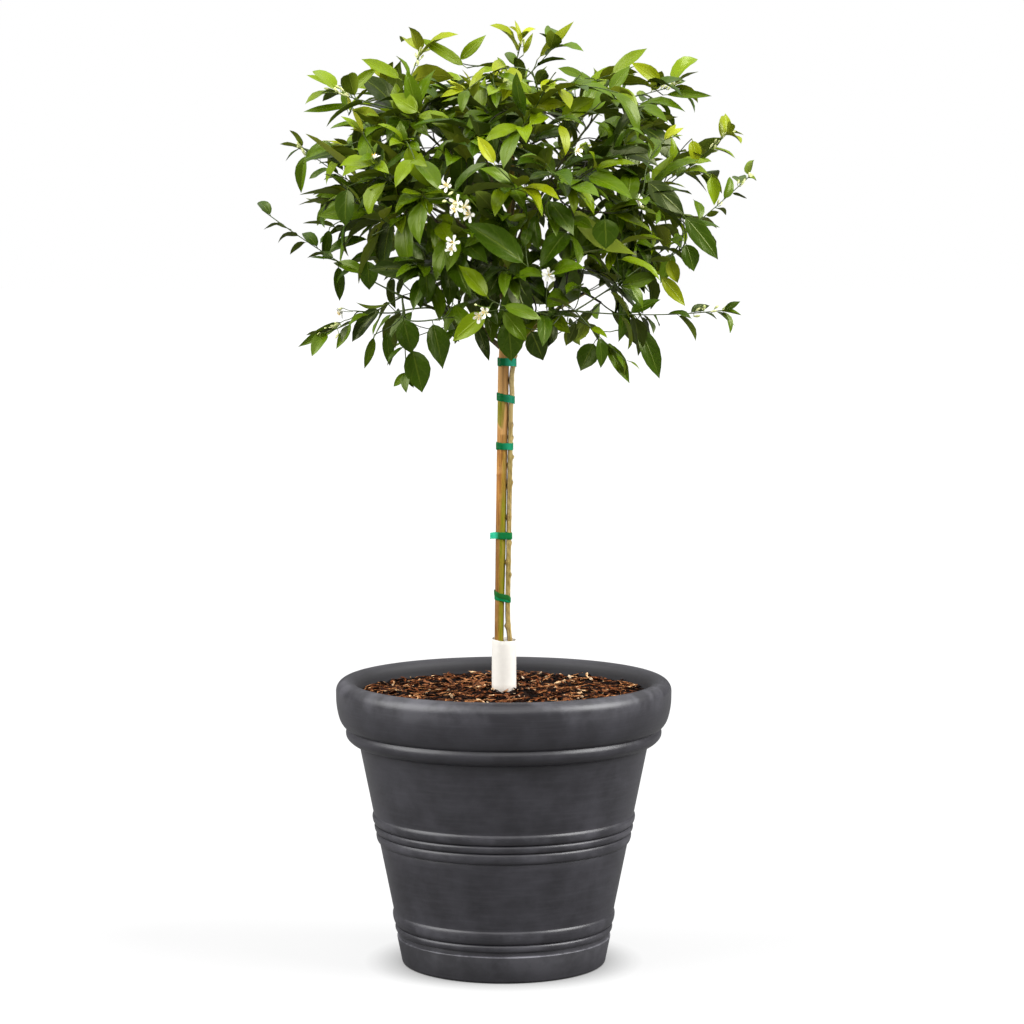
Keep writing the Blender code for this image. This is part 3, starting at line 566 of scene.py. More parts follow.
# A green stripe up the front, widest at the foot; a tongue of green under the second tape; and another stripe
# behind. The low half of the bark is darker and browner.
low_half = np.clip((0.80 - height) / 0.08, 0, 1)
fall = np.clip((0.944 - height) / 0.047, 0, 1)
tongue_right, tongue_left = -0.98 - 0.50 * fall, -3.3 + 1.8 * np.clip((fall - 0.6) / 0.4, 0, 1) ** 1.5
tongue_middle, tongue_width = (tongue_right + tongue_left) / 2, (tongue_right - tongue_left) / 2
green = np.maximum.reduce([
    strip(facing, height, -0.75 - 0.30 * low_half + 0.15 * wander, 0.62 + 0.10 * low_half, 0.40, 0.80, 0.06),
    0.55 * strip(facing, height, -1.15 + 0.3 * wander, 0.40, 0.72, 0.868, 0.06),
    strip(facing, height, tongue_middle, tongue_width - 0.08, 0.898, 0.944, 0.004),
    0.8 * strip(facing, height, 2.2, 0.7, 0.55, 0.92, 0.10),
    np.clip((height - 1.02) / 0.05, 0, 0.9)])
# Painted light: paler towards the top, against the shade of the head, and in a stripe up the right front, the
# side the light comes from; and pale edges round the green tongue.
bleached_and_lit = np.maximum.reduce([
    np.clip((height - 0.85) / 0.10, 0, 1) * (0.70 + 0.2 * np.sin(height * 57.0 + 2 * facing)),
    0.8 * strip(facing, height, -0.35, 0.38, 0.78, 1.02, 0.10),
    strip(facing, height, tongue_middle, tongue_width + 0.5, 0.888, 0.944, 0.004)])
# Shade: a dark seam under the first tape, a darker low half, painted shade down the left edge of the low half
# where the light does not reach, and painted shade inside the head.
shade = np.maximum.reduce([
    0.60 * strip(facing, height, -1.60, 0.09, 0.950, 1.004, 0.004),
    0.48 * low_half * (1 - 0.70 * green),
    0.78 * low_half * strip(facing, height, -3.05, 0.52, 0.40, 0.80),
    np.clip((height - 1.03) / 0.04, 0, 0.55)])
make_piece("trunk_bark", skin(trunk_grid[None], trunk_path[[0, -1]][None]),
           [bark_finish("citrus_bark_trunk", "#bb863f", "#955e2e", "#dba868", "#757c00")], ["trunk"],
           {"green": green, "bleached_and_lit": bleached_and_lit, "shade": shade}, sharp=60.0)

# Second stem. A thin, knobby shoot that stands right of the trunk in the same sleeve, with a kink above it,
# leaf scars with painted shade at their lips, painted shade down its left side, and a bow at the top where it
# runs out into the head.
STEM_RADIUS, STEM_TIP_RADIUS, STEM_ASIDE = 0.0041, 0.0026, 0.0003
STEM_ROUTE = ((0.0152, -0.0010, 0.4523), (0.0128, -0.0015, 0.515), (0.0066, -0.0020, 0.580),
              (0.0072, -0.0025, 0.650), (0.0084, -0.0015, 0.740), (0.0092, -0.0030, 0.790),
              (0.0104, -0.0035, 0.860), (0.0112, -0.0030, 0.930), (0.0135, -0.0030, 0.955),
              (0.0126, -0.0030, 0.979), (0.0150, -0.0020, 1.000),
              (0.0240, 0.0040, 1.035), (0.0750, 0.0350, 1.085), (0.1350, 0.0800, 1.120))
# Leaf scars: height, the angle that each faces (0 is right, pi is left), and how far it stands out.
SCARS = ((0.979, 2.9, 0.0022), (0.905, -0.4, 0.0010), (0.884, 0.1, 0.0014), (0.852, 0.1, 0.0028),
         (0.838, 3.0, 0.0012), (0.810, -0.1, 0.0015), (0.804, 3.1, 0.0016), (0.751, 3.3, 0.0020),
         (0.708, 0.2, 0.0012), (0.676, 3.1, 0.0020), (0.655, -0.2, 0.0016), (0.613, 2.9, 0.0014),
         (0.569, 3.2, 0.0024), (1.020, 0.3, 0.0016))


def evened(path, spacing):
    """A path drawn again with points at an even spacing along it."""
    run = np.concatenate([[0], np.cumsum(np.linalg.norm(np.diff(path, axis=0), axis=1))])
    wanted = np.linspace(0, run[-1], max(4, int(run[-1] / spacing)))
    return np.stack([np.interp(wanted, run, path[:, k]) for k in range(3)], 1)


stem_path = evened(curve_through(STEM_ROUTE, 12), 0.0016) + np.array([STEM_ASIDE, 0, 0])
stem_z = stem_path[:, 2]
stem_reach = STEM_RADIUS + (STEM_TIP_RADIUS - STEM_RADIUS) * np.clip((stem_z - FORK_HEIGHT) / 0.12, 0, 1)
spoke = tubes(stem_path[None], stem_reach[None], 24)[0] - stem_path[:, None]
facing = np.arctan2(spoke[..., 1], spoke[..., 0])
height = stem_z[:, None] + 0 * facing
swell = stem_reach[:, None] * (1 + bark_relief(facing, height, 4, 9))
broken = 0.82 + 0.18 * np.sin(height * 260.0 + 3 * np.sin(height * 70.0))
# Painted shade down the left side, broken along its length; darker and speckled towards the foot.
shade = strip(facing, height, -2.85, 0.55, 0.45, 1.03) * broken
speckle = 1 + 0.6 * np.sin(height * 400.0 + 2 * facing)
shade = np.maximum(shade, 0.20 * np.clip((0.88 - height) / 0.04, 0, 1) * speckle)
for at_z, at_turn, rise in SCARS:
    off = (facing - at_turn + np.pi) % (2 * np.pi) - np.pi
    above = (height - at_z) / 0.0042
    swell += rise * np.exp(-np.where(above > 0, 3.0, 0.8) * above ** 2 - (off / 0.75) ** 2)
    swell += 0.00045 * np.exp(-above ** 2)
    # Painted shade at the lip of each scar.
    shade = np.maximum(shade, 0.9 * np.exp(-((height - at_z - 0.0024) / 0.0013) ** 2 - (off / 0.9) ** 2))
stem_grid = stem_path[:, None] + unit(spoke) * swell[..., None]
stem_grid[0, :, 2] = TRUNK_BASE
green = (0.15 + 0.15 * np.sin(height * 31.0)) * (height < 0.9)
green = green + 0.25 * strip(facing, height, -1.2, 0.7, 0.4, 0.86)
green = np.maximum(green, np.clip((height - 1.02) / 0.05, 0, 0.9))
# The shoot is paler towards the top.
bleached_and_lit = np.clip((height - 0.80) / 0.08, 0.25, 1) * (0.6 + 0.3 * np.sin(height * 47.0))
make_piece("second_stem_bark", skin(stem_grid[None], stem_path[[0, -1]][None]),
           [bark_finish("citrus_bark_shoot", "#bfa25e", "#75582f", "#dfc68a", "#7d7318")],
           ["second_stem"], {"green": green, "bleached_and_lit": bleached_and_lit, "shade": shade}, sharp=60.0)

# Tapes. Five lengths of green stretch tape, each wound a turn and a third round both stems; the
# fourth keeps its loose end, which stands out to the left, and the fifth climbs over itself.
TAPE_SLACK, TAPE_THICKNESS = 0.0005, 0.00055
# Height, width, how far the right end hangs lower and a second turn climbs, in metres; the angle at which it
# starts, its turns, and how pale it is at its right end, stretched to one layer and with a painted highlight.
TAPES = ((1.0087, 0.0130, 0.0004, 0.0, 2.15, 1.33, 1.00), (0.9500, 0.0125, 0.0022, 0.0, 3.05, 1.33, 0.55),
         (0.8695, 0.0115, 0.0002, 0.0, 1.95, 1.33, 0.30), (0.7200, 0.0108, 0.0006, 0.0, 4.35, 1.33, 0.0),
         (0.6155, 0.0085, 0.0026, 0.0070, 2.90, 1.40, 0.06))
TAPE_WITH_TAIL, TAIL_LENGTH, TAIL_RINGS, ONE_LAYER_AND_HIGHLIGHT_BREADTH = 4, 0.0145, 14, 0.0042
TAPE_SECTION = np.array([(0, -0.46), (0.15, -0.5), (0.85, -0.5), (1, -0.46), (1.12, -0.2), (1.12, 0.2),
                         (1, 0.46), (0.85, 0.5), (0.15, 0.5), (0, 0.46)])


def belt(height, offset, turn):
    """Place and outward heading of a belt round both stems, at an angle round it.

    The belt is the hull of two circles, the stems' radii plus the offset: for a heading it is
    the place on the circle that reaches furthest that way.
    """
    left = trunk_centre(height)[:2]
    right = np.array([np.interp(height, stem_z, stem_path[:, k]) for k in range(2)])
    out = np.stack([np.cos(turn), np.sin(turn)], 1)
    further = out @ left + trunk_radius(height) > out @ right + STEM_RADIUS
    radius = np.where(further, float(trunk_radius(height)), STEM_RADIUS) + offset
    centre = np.where(further[:, None], left, right)
    return centre + out * radius[:, None], out


def tape_finish():
    """PVC stretch tape: thin and glossy, ribbed where it was pulled, paler where it is stretched to one layer
    and with a painted highlight there, and darker where two lie over the bark."""
    tree, link = finish("stretch_tape", Roughness=0.24, IOR=1.42, Specular_IOR_Level=0.25)
    places = add(tree, "TexCoord", out="Object")
    one_layer_and_highlight, doubled = (add(tree, "Attribute", out="Fac", attribute_name=label)
                       for label in ("one_layer_and_highlight", "doubled"))
    clouds = add(tree, "TexNoise", {"Vector": places, "Scale": 220.0, "Detail": 3.0})
    pulled = add(tree, "Mapping", {"Vector": places, "Scale": (90.0, 90.0, 1500.0)})
    ribs = add(tree, "TexNoise", {"Vector": pulled, "Scale": 1.0, "Detail": 3.0})
    base = "#005c2e"
    for share, colour in ((clouds, "#037f48"), (one_layer_and_highlight, "#50f5c8"), (doubled, "#1d5414")):
        base = add(tree, "Mix", {0: share, 6: base, 7: colour}, out=2, data_type="RGBA")
    return link(Base_Color=base, Normal=add(tree, "Bump", {"Height": ribs, "Distance": 0.0003}))


green_tape = tape_finish()
for number, (middle, width, drop, climb, start, turns, pale) in enumerate(TAPES, start=1):
    turn = start + 2 * np.pi * turns * np.linspace(0, 1, 150)
    layer = (turn - start) / (2 * np.pi)
    lift = TAPE_SLACK + (TAPE_THICKNESS + 0.0001) * np.clip((layer - 0.86) / 0.12, 0, 1)
    place, out = belt(middle, lift, turn)
    tilt = -drop * (place[:, 0] - trunk_centre(middle)[0]) / 0.012 + 0.0006 * np.sin(1.5 * turn + number)
    climbed = climb * np.clip((layer - 0.60) / 0.35, 0, 1) * np.clip((1.62 - layer) / 0.6, 0, 1)
    centre = np.column_stack([place, middle + tilt + climbed])
    outward = np.column_stack([out, np.zeros(len(turn))])
    aside = place[:, 0] + 0.0012 - np.interp(middle, stem_z, stem_path[:, 0])
    # The pale spot over the gap between the stems is one layer of tape and a painted highlight.
    one_layer_and_highlight = pale * np.exp(-(aside / ONE_LAYER_AND_HIGHLIGHT_BREADTH) ** 2)
    doubled = (0.8 if climb else 0.3) * np.clip((layer - 0.98) / 0.03, 0, 1)
    if number == TAPE_WITH_TAIL:
        run = np.linspace(1, 0.08, TAIL_RINGS)[:, None]
        tail = centre[0] + TAIL_LENGTH * run * np.array([-1.0, -0.05, 0.0])
        tail[:, 2] += 0.0010 * np.sin(3 * run[:, 0])
        centre = np.vstack([tail, centre])
        outward = np.vstack([np.tile([-0.05, -1.0, 0], (TAIL_RINGS, 1)), outward])
        one_layer_and_highlight = np.concatenate([0.45 * np.clip(2.5 * run[:, 0], 0, 1), one_layer_and_highlight])
        doubled = np.append(0 * run[:, 0], doubled)
    crimp = 1 + 0.04 * np.sin(17 * np.linspace(0, 6, len(centre)) + number)
    ring = (centre[:, None] + unit(outward)[:, None] * TAPE_SECTION[:, :1] * TAPE_THICKNESS
            + np.array([0, 0, 1.0]) * TAPE_SECTION[:, 1:] * width * crimp[:, None, None])
    make_piece(f"stretch_tape_{number}", skin(ring[None, :, ::-1], ring[[0, -1]].mean(axis=1)[None]),
               [green_tape], [f"tape_{number}"],
               {"one_layer_and_highlight": np.repeat(one_layer_and_highlight, len(TAPE_SECTION)),
                "doubled": np.repeat(doubled, len(TAPE_SECTION))}, sharp=60.0)

# Boughs. Limbs that leave the trunk above the top tape, bow outwards and taper into the leaves:
# young wood with the trunk's bark, greener, grown from it without any joint.
RINGS = {"low": (0.200, 1.110, 35.0, ("back_right", "back_left", "front_left", "front_right")),
         "middle": (0.240, 1.285, 8.0, ("right", "back_right", "back_left", "front_left", "front_right")),
         "high": (0.185, 1.435, 20.0, ("right", "back", "left", "front"))}
TOP_MIDDLE = np.array([0.010, 0.000, 1.450])
BOUGH_FOOT = {"low": 1.028, "middle": 1.066, "high": 1.140}
BOUGH_STEP, BOUGH_TAPER, BOUGH_RINGS, BOUGH_COLUMNS = 0.017, 0.62, 60, 14
BOUGH_RADIUS = {"low": 0.0048, "middle": 0.0046, "high": 0.0036}
BOUGH_ELBOW = {"low": (0.062, 0.030), "middle": (0.046, 0.135), "high": (0.030, 0.135)}
STEM_MASS = "leaves_low_back_right"


def bent(start, elbow, end, count):
    """A quadratic curve that leaves start towards the elbow and reaches the end."""
    t = np.linspace(0, 1, count)[:, None]
    return (1 - t) ** 2 * start + 2 * t * (1 - t) * elbow + t ** 2 * end


masses, limbs = {}, {}
for ring, (distance, ring_height, first, words) in RINGS.items():
    order = 0
    for k, word in enumerate(words):
        azimuth = np.radians(first + 360.0 * k / len(words))
        sway = 0.012 * np.sin(2.3 * k + ring_height * 9.0)
        middle = np.array([distance * np.cos(azimuth), distance * np.sin(azimuth), ring_height + sway])
        name = f"leaves_{ring}_{word}"
        masses[name] = middle
        if name == STEM_MASS:
            continue
        foot = trunk_centre(BOUGH_FOOT[ring] + BOUGH_STEP * order)
        out, rise = BOUGH_ELBOW[ring]
        elbow = foot + np.array([out * np.cos(azimuth), out * np.sin(azimuth), rise])
        limbs[name] = (bent(foot, elbow, middle, BOUGH_RINGS), BOUGH_RADIUS[ring])
        order += 1
masses["leaves_top"] = TOP_MIDDLE
bough_bark = bark_finish("citrus_bark_boughs", "#5c4f28", "#2f2814", "#73663a", "#3f4a1a")
for name, (path, radius) in limbs.items():
    t = np.linspace(0, 1, BOUGH_RINGS)
    taper = radius * np.maximum(1 - BOUGH_TAPER * t, 0.46)
    relief = bark_relief(circle(BOUGH_COLUMNS)[None], path[:, 2:], 5, len(name))
    grid = tubes(path[None], taper[:, None] * (1 + relief), BOUGH_COLUMNS)
    green = np.append(np.repeat(np.clip(1.3 * t - 0.2, 0, 1), BOUGH_COLUMNS), [0, 1])
    node = name.replace("leaves_", "bough_")
    make_piece(node + "_bark", skin(grid, path[[0, -1]][None]), [bough_bark], [node],
               {"green": green, "bleached_and_lit": 0 * green, "shade": 0 * green}, sharp=60.0)

# Twigs. From the end of each bough twigs fork again and again by one rule: each grows from the
# nearest wood that already heads its way, out to a free place under the outline of the head.
TWIGS = {"low": 15, "middle": 22, "high": 24, "top": 19}
TWIG_POINTS, TWIG_SIDES = 8, 6
TIP_RADIUS, PIPE_POWER = 0.0009, 0.30
TURN_COST, OUTER_COST, SHORTEST = 1.6, 0.10, 0.018
# Free places: how many are drawn for each one kept, and their least and greatest share of the head.
DRAWS, INNERMOST, OUTERMOST = 300, 0.38, 0.86
HEAD_MIDDLE = np.array([0.010, 0.0, 1.268])
# How far the head reaches from its middle at each angle above the level, in degrees and metres.
HEAD_REACH = ((-90, 0.215), (-69, 0.250), (-57, 0.295), (-44, 0.335), (-35, 0.343), (-27, 0.330),
              (-18, 0.320), (-8, 0.333), (0, 0.360), (9, 0.390), (15, 0.384), (25, 0.381), (35, 0.380),
              (46, 0.335), (60, 0.275), (75, 0.250), (90, 0.240))
LUMP_DEPTH = 0.16
# Gaps right through the head where nothing grows: across, up, and radius.
GAPS = ((-0.118, 1.532, 0.045), (0.108, 1.532, 0.055), (0.145, 1.075, 0.042), (-0.128, 1.076, 0.036),
        (-0.172, 1.522, 0.032), (0.345, 1.505, 0.045), (-0.335, 1.470, 0.030), (-0.119, 1.388, 0.025),
        (0.148, 1.400, 0.027), (0.160, 1.128, 0.030), (-0.165, 1.120, 0.024), (0.308, 1.396, 0.022),
        (-0.225, 1.135, 0.034), (-0.285, 1.410, 0.034), (0.305, 1.295, 0.030), (-0.060, 1.045, 0.016),
        (0.090, 1.045, 0.016))
# Sprigs that carry the outline: the mass each grows from, its leaves' size, and how far its wood
# ends short of the tip of the CAD node.
SPRIGS = {
    "leader": ("top", 0.75, 0.03), "top_right": ("top", 0.80, 0.045),
    "top_left": ("high_left", 0.95, 0.03), "upper_left": ("high_left", 0.85, 0.055),
    "upper_right": ("high_right", 0.85, 0.065), "left_high": ("middle_back_left", 0.58, 0.03),
    "left": ("low_front_left", 0.55, 0.025), "right_high": ("middle_right", 0.58, 0.03),
    "right": ("low_front_right", 0.55, 0.03), "right_low": ("low_front_right", 0.55, 0.03),
    "low_left": ("low_front_left", 0.58, 0.055), "hanging_left": ("low_front_left", 0.50, 0.035),
    "hanging_right": ("low_front_right", 0.50, 0.048), "front": ("middle_front_right", 0.80, 0.03),
    "back": ("middle_back_right", 0.80, 0.03), "back_low": ("low_back_right", 0.75, 0.03)}
SPRIG_SAG, SPRIG_POINTS = 0.06, 16
# Leaves that stand out in front: foot, the place of the tip across and up, width, and shade.
FRONT_LEAVES = (
    ((0.039, -0.294, 1.172), (-0.048, 1.246), 0.044, "dark"),
    ((-0.147, -0.159, 1.041), (-0.131, 0.972), 0.042, "dark"),
    ((-0.161, -0.177, 1.089), (-0.146, 1.035), 0.039, "dark"),
    ((-0.114, -0.182, 1.085), (-0.096, 1.011), 0.039, "dark"),
    ((-0.190, -0.123, 1.068), (-0.182, 1.012), 0.019, "dark"),
    ((-0.210, -0.103, 1.058), (-0.223, 1.005), 0.015, "mid"),
    ((-0.261, -0.033, 1.079), (-0.335, 1.040), 0.017, "mid"),
    ((-0.249, -0.040, 1.076), (-0.275, 1.035), 0.015, "mid"),
    ((-0.024, -0.260, 1.102), (-0.079, 1.060), 0.031, "fresh"),
    ((-0.022, -0.274, 1.121), (-0.064, 1.175), 0.032, "fresh"),
    ((-0.003, -0.269, 1.112), (0.059, 1.095), 0.023, "mid"),
    ((-0.002, -0.255, 1.104), (0.037, 1.058), 0.029, "mid"),
    ((0.007, -0.171, 1.089), (0.014, 1.022), 0.044, "dark"),
    ((-0.044, -0.140, 1.079), (-0.023, 1.021), 0.023, "deep"),
    ((0.043, -0.166, 1.070), (0.064, 1.023), 0.036, "deep"),
    ((0.081, -0.163, 1.079), (0.072, 1.043), 0.029, "deep"),
    ((0.148, -0.132, 1.049), (0.125, 1.004), 0.036, "dark"),
    ((0.161, -0.127, 1.051), (0.205, 0.986), 0.024, "mid"),
    ((0.218, -0.107, 1.076), (0.256, 0.994), 0.032, "dark"),
    ((0.288, -0.120, 1.254), (0.349, 1.189), 0.034, "dark"),
    ((0.223, -0.243, 1.309), (0.284, 1.258), 0.036, "deep"),
    ((0.159, -0.280, 1.251), (0.162, 1.203), 0.042, "dark"),
    ((-0.060, -0.023, 1.491), (-0.130, 1.543), 0.022, "fresh"),
    ((-0.165, -0.055, 1.470), (-0.224, 1.508), 0.024, "fresh"),
    ((0.055, 0.000, 1.505), (0.109, 1.567), 0.017, "light"),
    ((0.173, -0.053, 1.478), (0.227, 1.523), 0.024, "fresh"),
    ((0.260, -0.019, 1.465), (0.215, 1.502), 0.024, "light"),
    ((0.261, -0.021, 1.447), (0.337, 1.453), 0.014, "mid"),
    ((-0.245, -0.048, 1.430), (-0.322, 1.423), 0.015, "mid"),
    ((-0.251, -0.043, 1.452), (-0.211, 1.490), 0.020, "fresh"),
    ((-0.271, -0.018, 1.462), (-0.319, 1.481), 0.015, "fresh"),
    ((-0.012, -0.365, 1.329), (-0.035, 1.373), 0.020, "lime"),
    ((-0.075, 0.000, 1.502), (-0.032, 1.544), 0.019, "fresh"),
    ((-0.006, -0.064, 1.492), (-0.054, 1.479), 0.017, "fresh"),
    ((0.090, -0.173, 1.401), (0.141, 1.439), 0.032, "fresh"),
    ((-0.132, -0.196, 1.413), (-0.176, 1.444), 0.032, "fresh"),
    ((0.133, -0.058, 1.473), (0.092, 1.492), 0.018, "mid"),
    ((0.220, -0.108, 1.422), (0.175, 1.461), 0.028, "fresh"),
    ((0.305, -0.090, 1.375), (0.314, 1.338), 0.022, "light"),
    ((0.296, -0.080, 1.208), (0.310, 1.163), 0.030, "dark"),
    ((0.268, -0.090, 1.182), (0.282, 1.144), 0.022, "light"),
    ((0.254, -0.090, 1.155), (0.294, 1.108), 0.022, "light"),
    ((0.028, -0.010, 1.530), (0.022, 1.568), 0.010, "lime"),
    ((0.032, -0.012, 1.512), (0.046, 1.547), 0.010, "light"),
    ((0.338, -0.060, 1.318), (0.346, 1.270), 0.024, "fresh"),
    ((-0.322, -0.060, 1.352), (-0.336, 1.292), 0.020, "mid"),
    ((-0.250, -0.130, 1.298), (-0.260, 1.238), 0.038, "dark"),
    ((-0.284, -0.060, 1.231), (-0.294, 1.182), 0.018, "dark"),
    ((-0.270, -0.070, 1.172), (-0.265, 1.115), 0.019, "dark"),
    ((-0.220, -0.120, 1.182), (-0.215, 1.134), 0.030, "dark"))
# Where clusters of blossom stand, and how many flowers each has.
CLUSTERS = ((-0.063, -0.349, 1.262, 4), (-0.076, -0.352, 1.292, 1), (-0.021, -0.290, 1.109, 2),
            (-0.080, -0.310, 1.214, 2), (0.071, -0.245, 1.160, 1), (0.215, -0.262, 1.273, 1),
            (0.111, -0.325, 1.350, 1), (-0.245, -0.045, 1.095, 1), (0.235, 0.180, 1.300, 2),
            (-0.120, 0.300, 1.280, 3), (0.060, 0.320, 1.240, 2), (-0.290, 0.110, 1.270, 2),
            (-0.200, -0.240, 1.330, 1), (0.120, 0.230, 1.420, 2))
growth = np.random.default_rng(28)


def node_points(name):
    """All points of a CAD node's mesh."""
    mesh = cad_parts[name].data
    points = np.empty(len(mesh.vertices) * 3)
    mesh.vertices.foreach_get("co", points)
    return points.reshape(-1, 3)


def head_share(places):
    """0 at the middle of the head and 1 on its outline, whose reach depends on the angle above
    the level and sinks by waves round the head to leave hollows between sprays."""
    off = places - HEAD_MIDDLE
    rise = np.degrees(np.arctan2(off[..., 2], np.hypot(off[..., 0], off[..., 1])))
    round_head = np.arctan2(off[..., 1], off[..., 0])
    angles, reaches = np.array(HEAD_REACH, float).T
    waves = np.cos(5 * round_head + rise / 9) * np.cos(3 * round_head - rise / 14 + 1.7)
    reach = np.interp(rise, angles, reaches) * (1 - LUMP_DEPTH * np.maximum(waves, 0))
    return np.linalg.norm(off, axis=-1) / reach


def in_gap(places):
    """Whether places lie in one of the gaps, which run through the head from front to back."""
    across, up, radius = np.array(GAPS).T
    return (np.hypot(places[..., :1] - across, places[..., 2:] - up) < radius).any(axis=-1)


wood = {"place": [], "way": [], "below": [], "mass": []}
shoots = []


def grow(path, mass, start, kind):
    """Add a path's points to the wood; the first point is the wood that it grows from."""
    way = unit(np.gradient(path, axis=0))
    first = len(wood["place"])
    for k in range(1, len(path)):
        wood["place"].append(path[k])
        wood["way"].append(way[k])
        wood["below"].append(start if k == 1 else first + k - 2)
        wood["mass"].append(mass)
    shoots.append({"path": path, "mass": mass, "start": start, "first": first, "kind": kind})


def free_places(mass, count, taken):
    """Spread places in a mass one by one: of many drawn, the one furthest from all that are taken.

    A drawn place lies on the line from the middle of the mass to a point of its CAD solid.
    """
    middle, shell = masses[mass], node_points(mass)
    found = []
    for _ in range(count):
        share = growth.uniform(0.25, 0.93, DRAWS) ** 0.75
        drawn = middle + (shell[growth.integers(0, len(shell), DRAWS)] - middle) * share[:, None]
        inside = head_share(drawn)
        drawn = drawn[(inside > INNERMOST) & (inside < OUTERMOST + growth.uniform(0, 0.06)) & ~in_gap(drawn)]
        gaps = np.linalg.norm(drawn[:, None] - np.array(taken)[None], axis=2).min(axis=1)
        best = drawn[np.argmax(gaps)]
        taken.append(best)
        found.append(best)
    return found


mass_names = sorted(masses)
taken = [trunk_centre(h) for h in np.linspace(1.05, 1.40, 8)]
for mass in mass_names:
    if mass == "leaves_top":
        path = np.vstack([trunk_centre(np.linspace(1.18, TRUNK_TOP, 14)), TOP_MIDDLE])
    elif mass == STEM_MASS:
        path = curve_through([stem_path[-30], stem_path[-12], stem_path[-1], masses[mass]], 5)
    else:
        path = limbs[mass][0][::5]
    start = len(wood["place"])
    wood["place"].append(path[0])
    wood["way"].append(unit(path[1] - path[0]))
    wood["below"].append(-1)
    wood["mass"].append(mass)
    grow(path, mass, start, "limb")

for name, (carrier, _, short) in SPRIGS.items():
    mass = "leaves_" + carrier
    middle = masses[mass]
    solid = node_points("sprig_" + name)
    far = solid[np.argsort(np.linalg.norm(solid - middle, axis=1))[-6:]].mean(axis=0)
    span = far - middle
    elbow = middle + 0.5 * span - np.array([0, 0, SPRIG_SAG * np.linalg.norm(span)])
    path = evened(bent(middle, elbow, far, SPRIG_POINTS), 0.001)
    path = path[:int(len(path) * (1 - short / np.linalg.norm(span)))]
    path = path[np.linspace(0, len(path) - 1, SPRIG_POINTS).astype(int)]
    start = int(np.argmin(np.linalg.norm(np.array(wood["place"]) - middle, axis=1)))
    grow(path, mass, start, "sprig")
    taken.append(path[-1])

mass_middles = np.array([masses[m] for m in mass_names])
wanted = {m: [] for m in mass_names}
for place, kind in [(f[0], "front") for f in FRONT_LEAVES] + [(c[:3], "bloom") for c in CLUSTERS]:
    place = np.array(place)
    nearest = mass_names[int(np.argmin(np.linalg.norm(mass_middles - place, axis=1)))]
    wanted[nearest].append((place, kind))
    taken.append(place)
for mass in mass_names:
    ring = mass.split("_")[1]
    found = [(place, "twig") for place in free_places(mass, TWIGS[ring], taken)] + wanted[mass]
    for target, kind in sorted(found, key=lambda p: np.linalg.norm(p[0] - masses[mass])):
        own = np.array([k for k, m in enumerate(wood["mass"]) if m == mass])
        places, ways = np.array(wood["place"])[own], np.array(wood["way"])[own]
        span = target - places
        length = np.linalg.norm(span, axis=1)
        turned_away = 1 - (unit(span) * ways).sum(axis=1)
        outer = np.clip(head_share(places) - head_share(target[None]), 0, 1)
        cost = length * (1 + TURN_COST * turned_away) + OUTER_COST * outer
        cost[length < SHORTEST] = np.inf
        best = int(np.argmin(cost))
        lean = unit(growth.normal(0, 1, 3)) * 0.10 * length[best]
        path = bent(places[best], places[best] + ways[best] * 0.45 * length[best] + lean, target, TWIG_POINTS)
        grow(path, mass, int(own[best]), kind)

below = np.array(wood["below"])
load = np.zeros(len(below))
for shoot in shoots:
    load[shoot["first"] + len(shoot["path"]) - 2] += 1
for k in range(len(below) - 1, -1, -1):
    if below[k] >= 0:
        load[below[k]] += load[k]
thickness = TIP_RADIUS * np.maximum(load, 1) ** PIPE_POWER


def shoot_radii(shoot):
    """Radius along a shoot: what the wood there carries, and at its foot no more than its parent."""
    own = thickness[shoot["first"]:shoot["first"] + len(shoot["path"]) - 1]
    return np.concatenate([[min(own[0] * 1.15, thickness[shoot["start"]])], own])


def twig_finish(name, low, high, dots):
    """Wood of this and last year: satin, green or olive brown, flecked with pale corky dots."""
    tree, link = finish(name, Roughness=0.50, IOR=1.42)
    places = add(tree, "TexCoord", out="Object")
    patches, flecks = (add(tree, "TexNoise", {"Vector": places, "Scale": scale, "Detail": 3.0})
                       for scale in (30.0, 500.0))
    flecked = add(tree, "MapRange", {"Value": flecks, "From Min": 0.58, "From Max": 0.72})
    base = low
    for share, colour in ((patches, high), (flecked, dots)):
        base = add(tree, "Mix", {0: share, 6: base, 7: colour}, out=2, data_type="RGBA")
    return link(Base_Color=base, Normal=add(tree, "Bump", {"Height": flecks, "Distance": 0.0003,
                                                           "Strength": 0.6}))


old_wood = twig_finish("twig_wood_old", "#16130a", "#332d16", "#4d4526")
green_wood = twig_finish("twig_wood_green", "#2c3a10", "#4a5c1c", "#6b7838")
twigs = [s for s in shoots if s["kind"] not in ("limb", "sprig")]
sprigs = [s for s in shoots if s["kind"] == "sprig"]
outer = np.array([head_share(s["path"][len(s["path"]) // 2]) for s in twigs]) > 0.70
groups = {"twigs_old": ([s for s, o in zip(twigs, outer) if not o], old_wood),
          "twigs_green": ([s for s, o in zip(twigs, outer) if o], green_wood),
          "twigs_of_sprigs": (sprigs, green_wood)}
for name, (group, material) in groups.items():
    paths = np.array([s["path"] for s in group])
    radii = np.array([shoot_radii(s) for s in group])
    nodes = ["sprig_" + n for n in SPRIGS] if group is sprigs else sorted({s["mass"] for s in group})
    make_piece(name, skin(tubes(paths, radii, TWIG_SIDES), paths[:, [0, -1]]), [material], nodes,
               sharp=70.0)
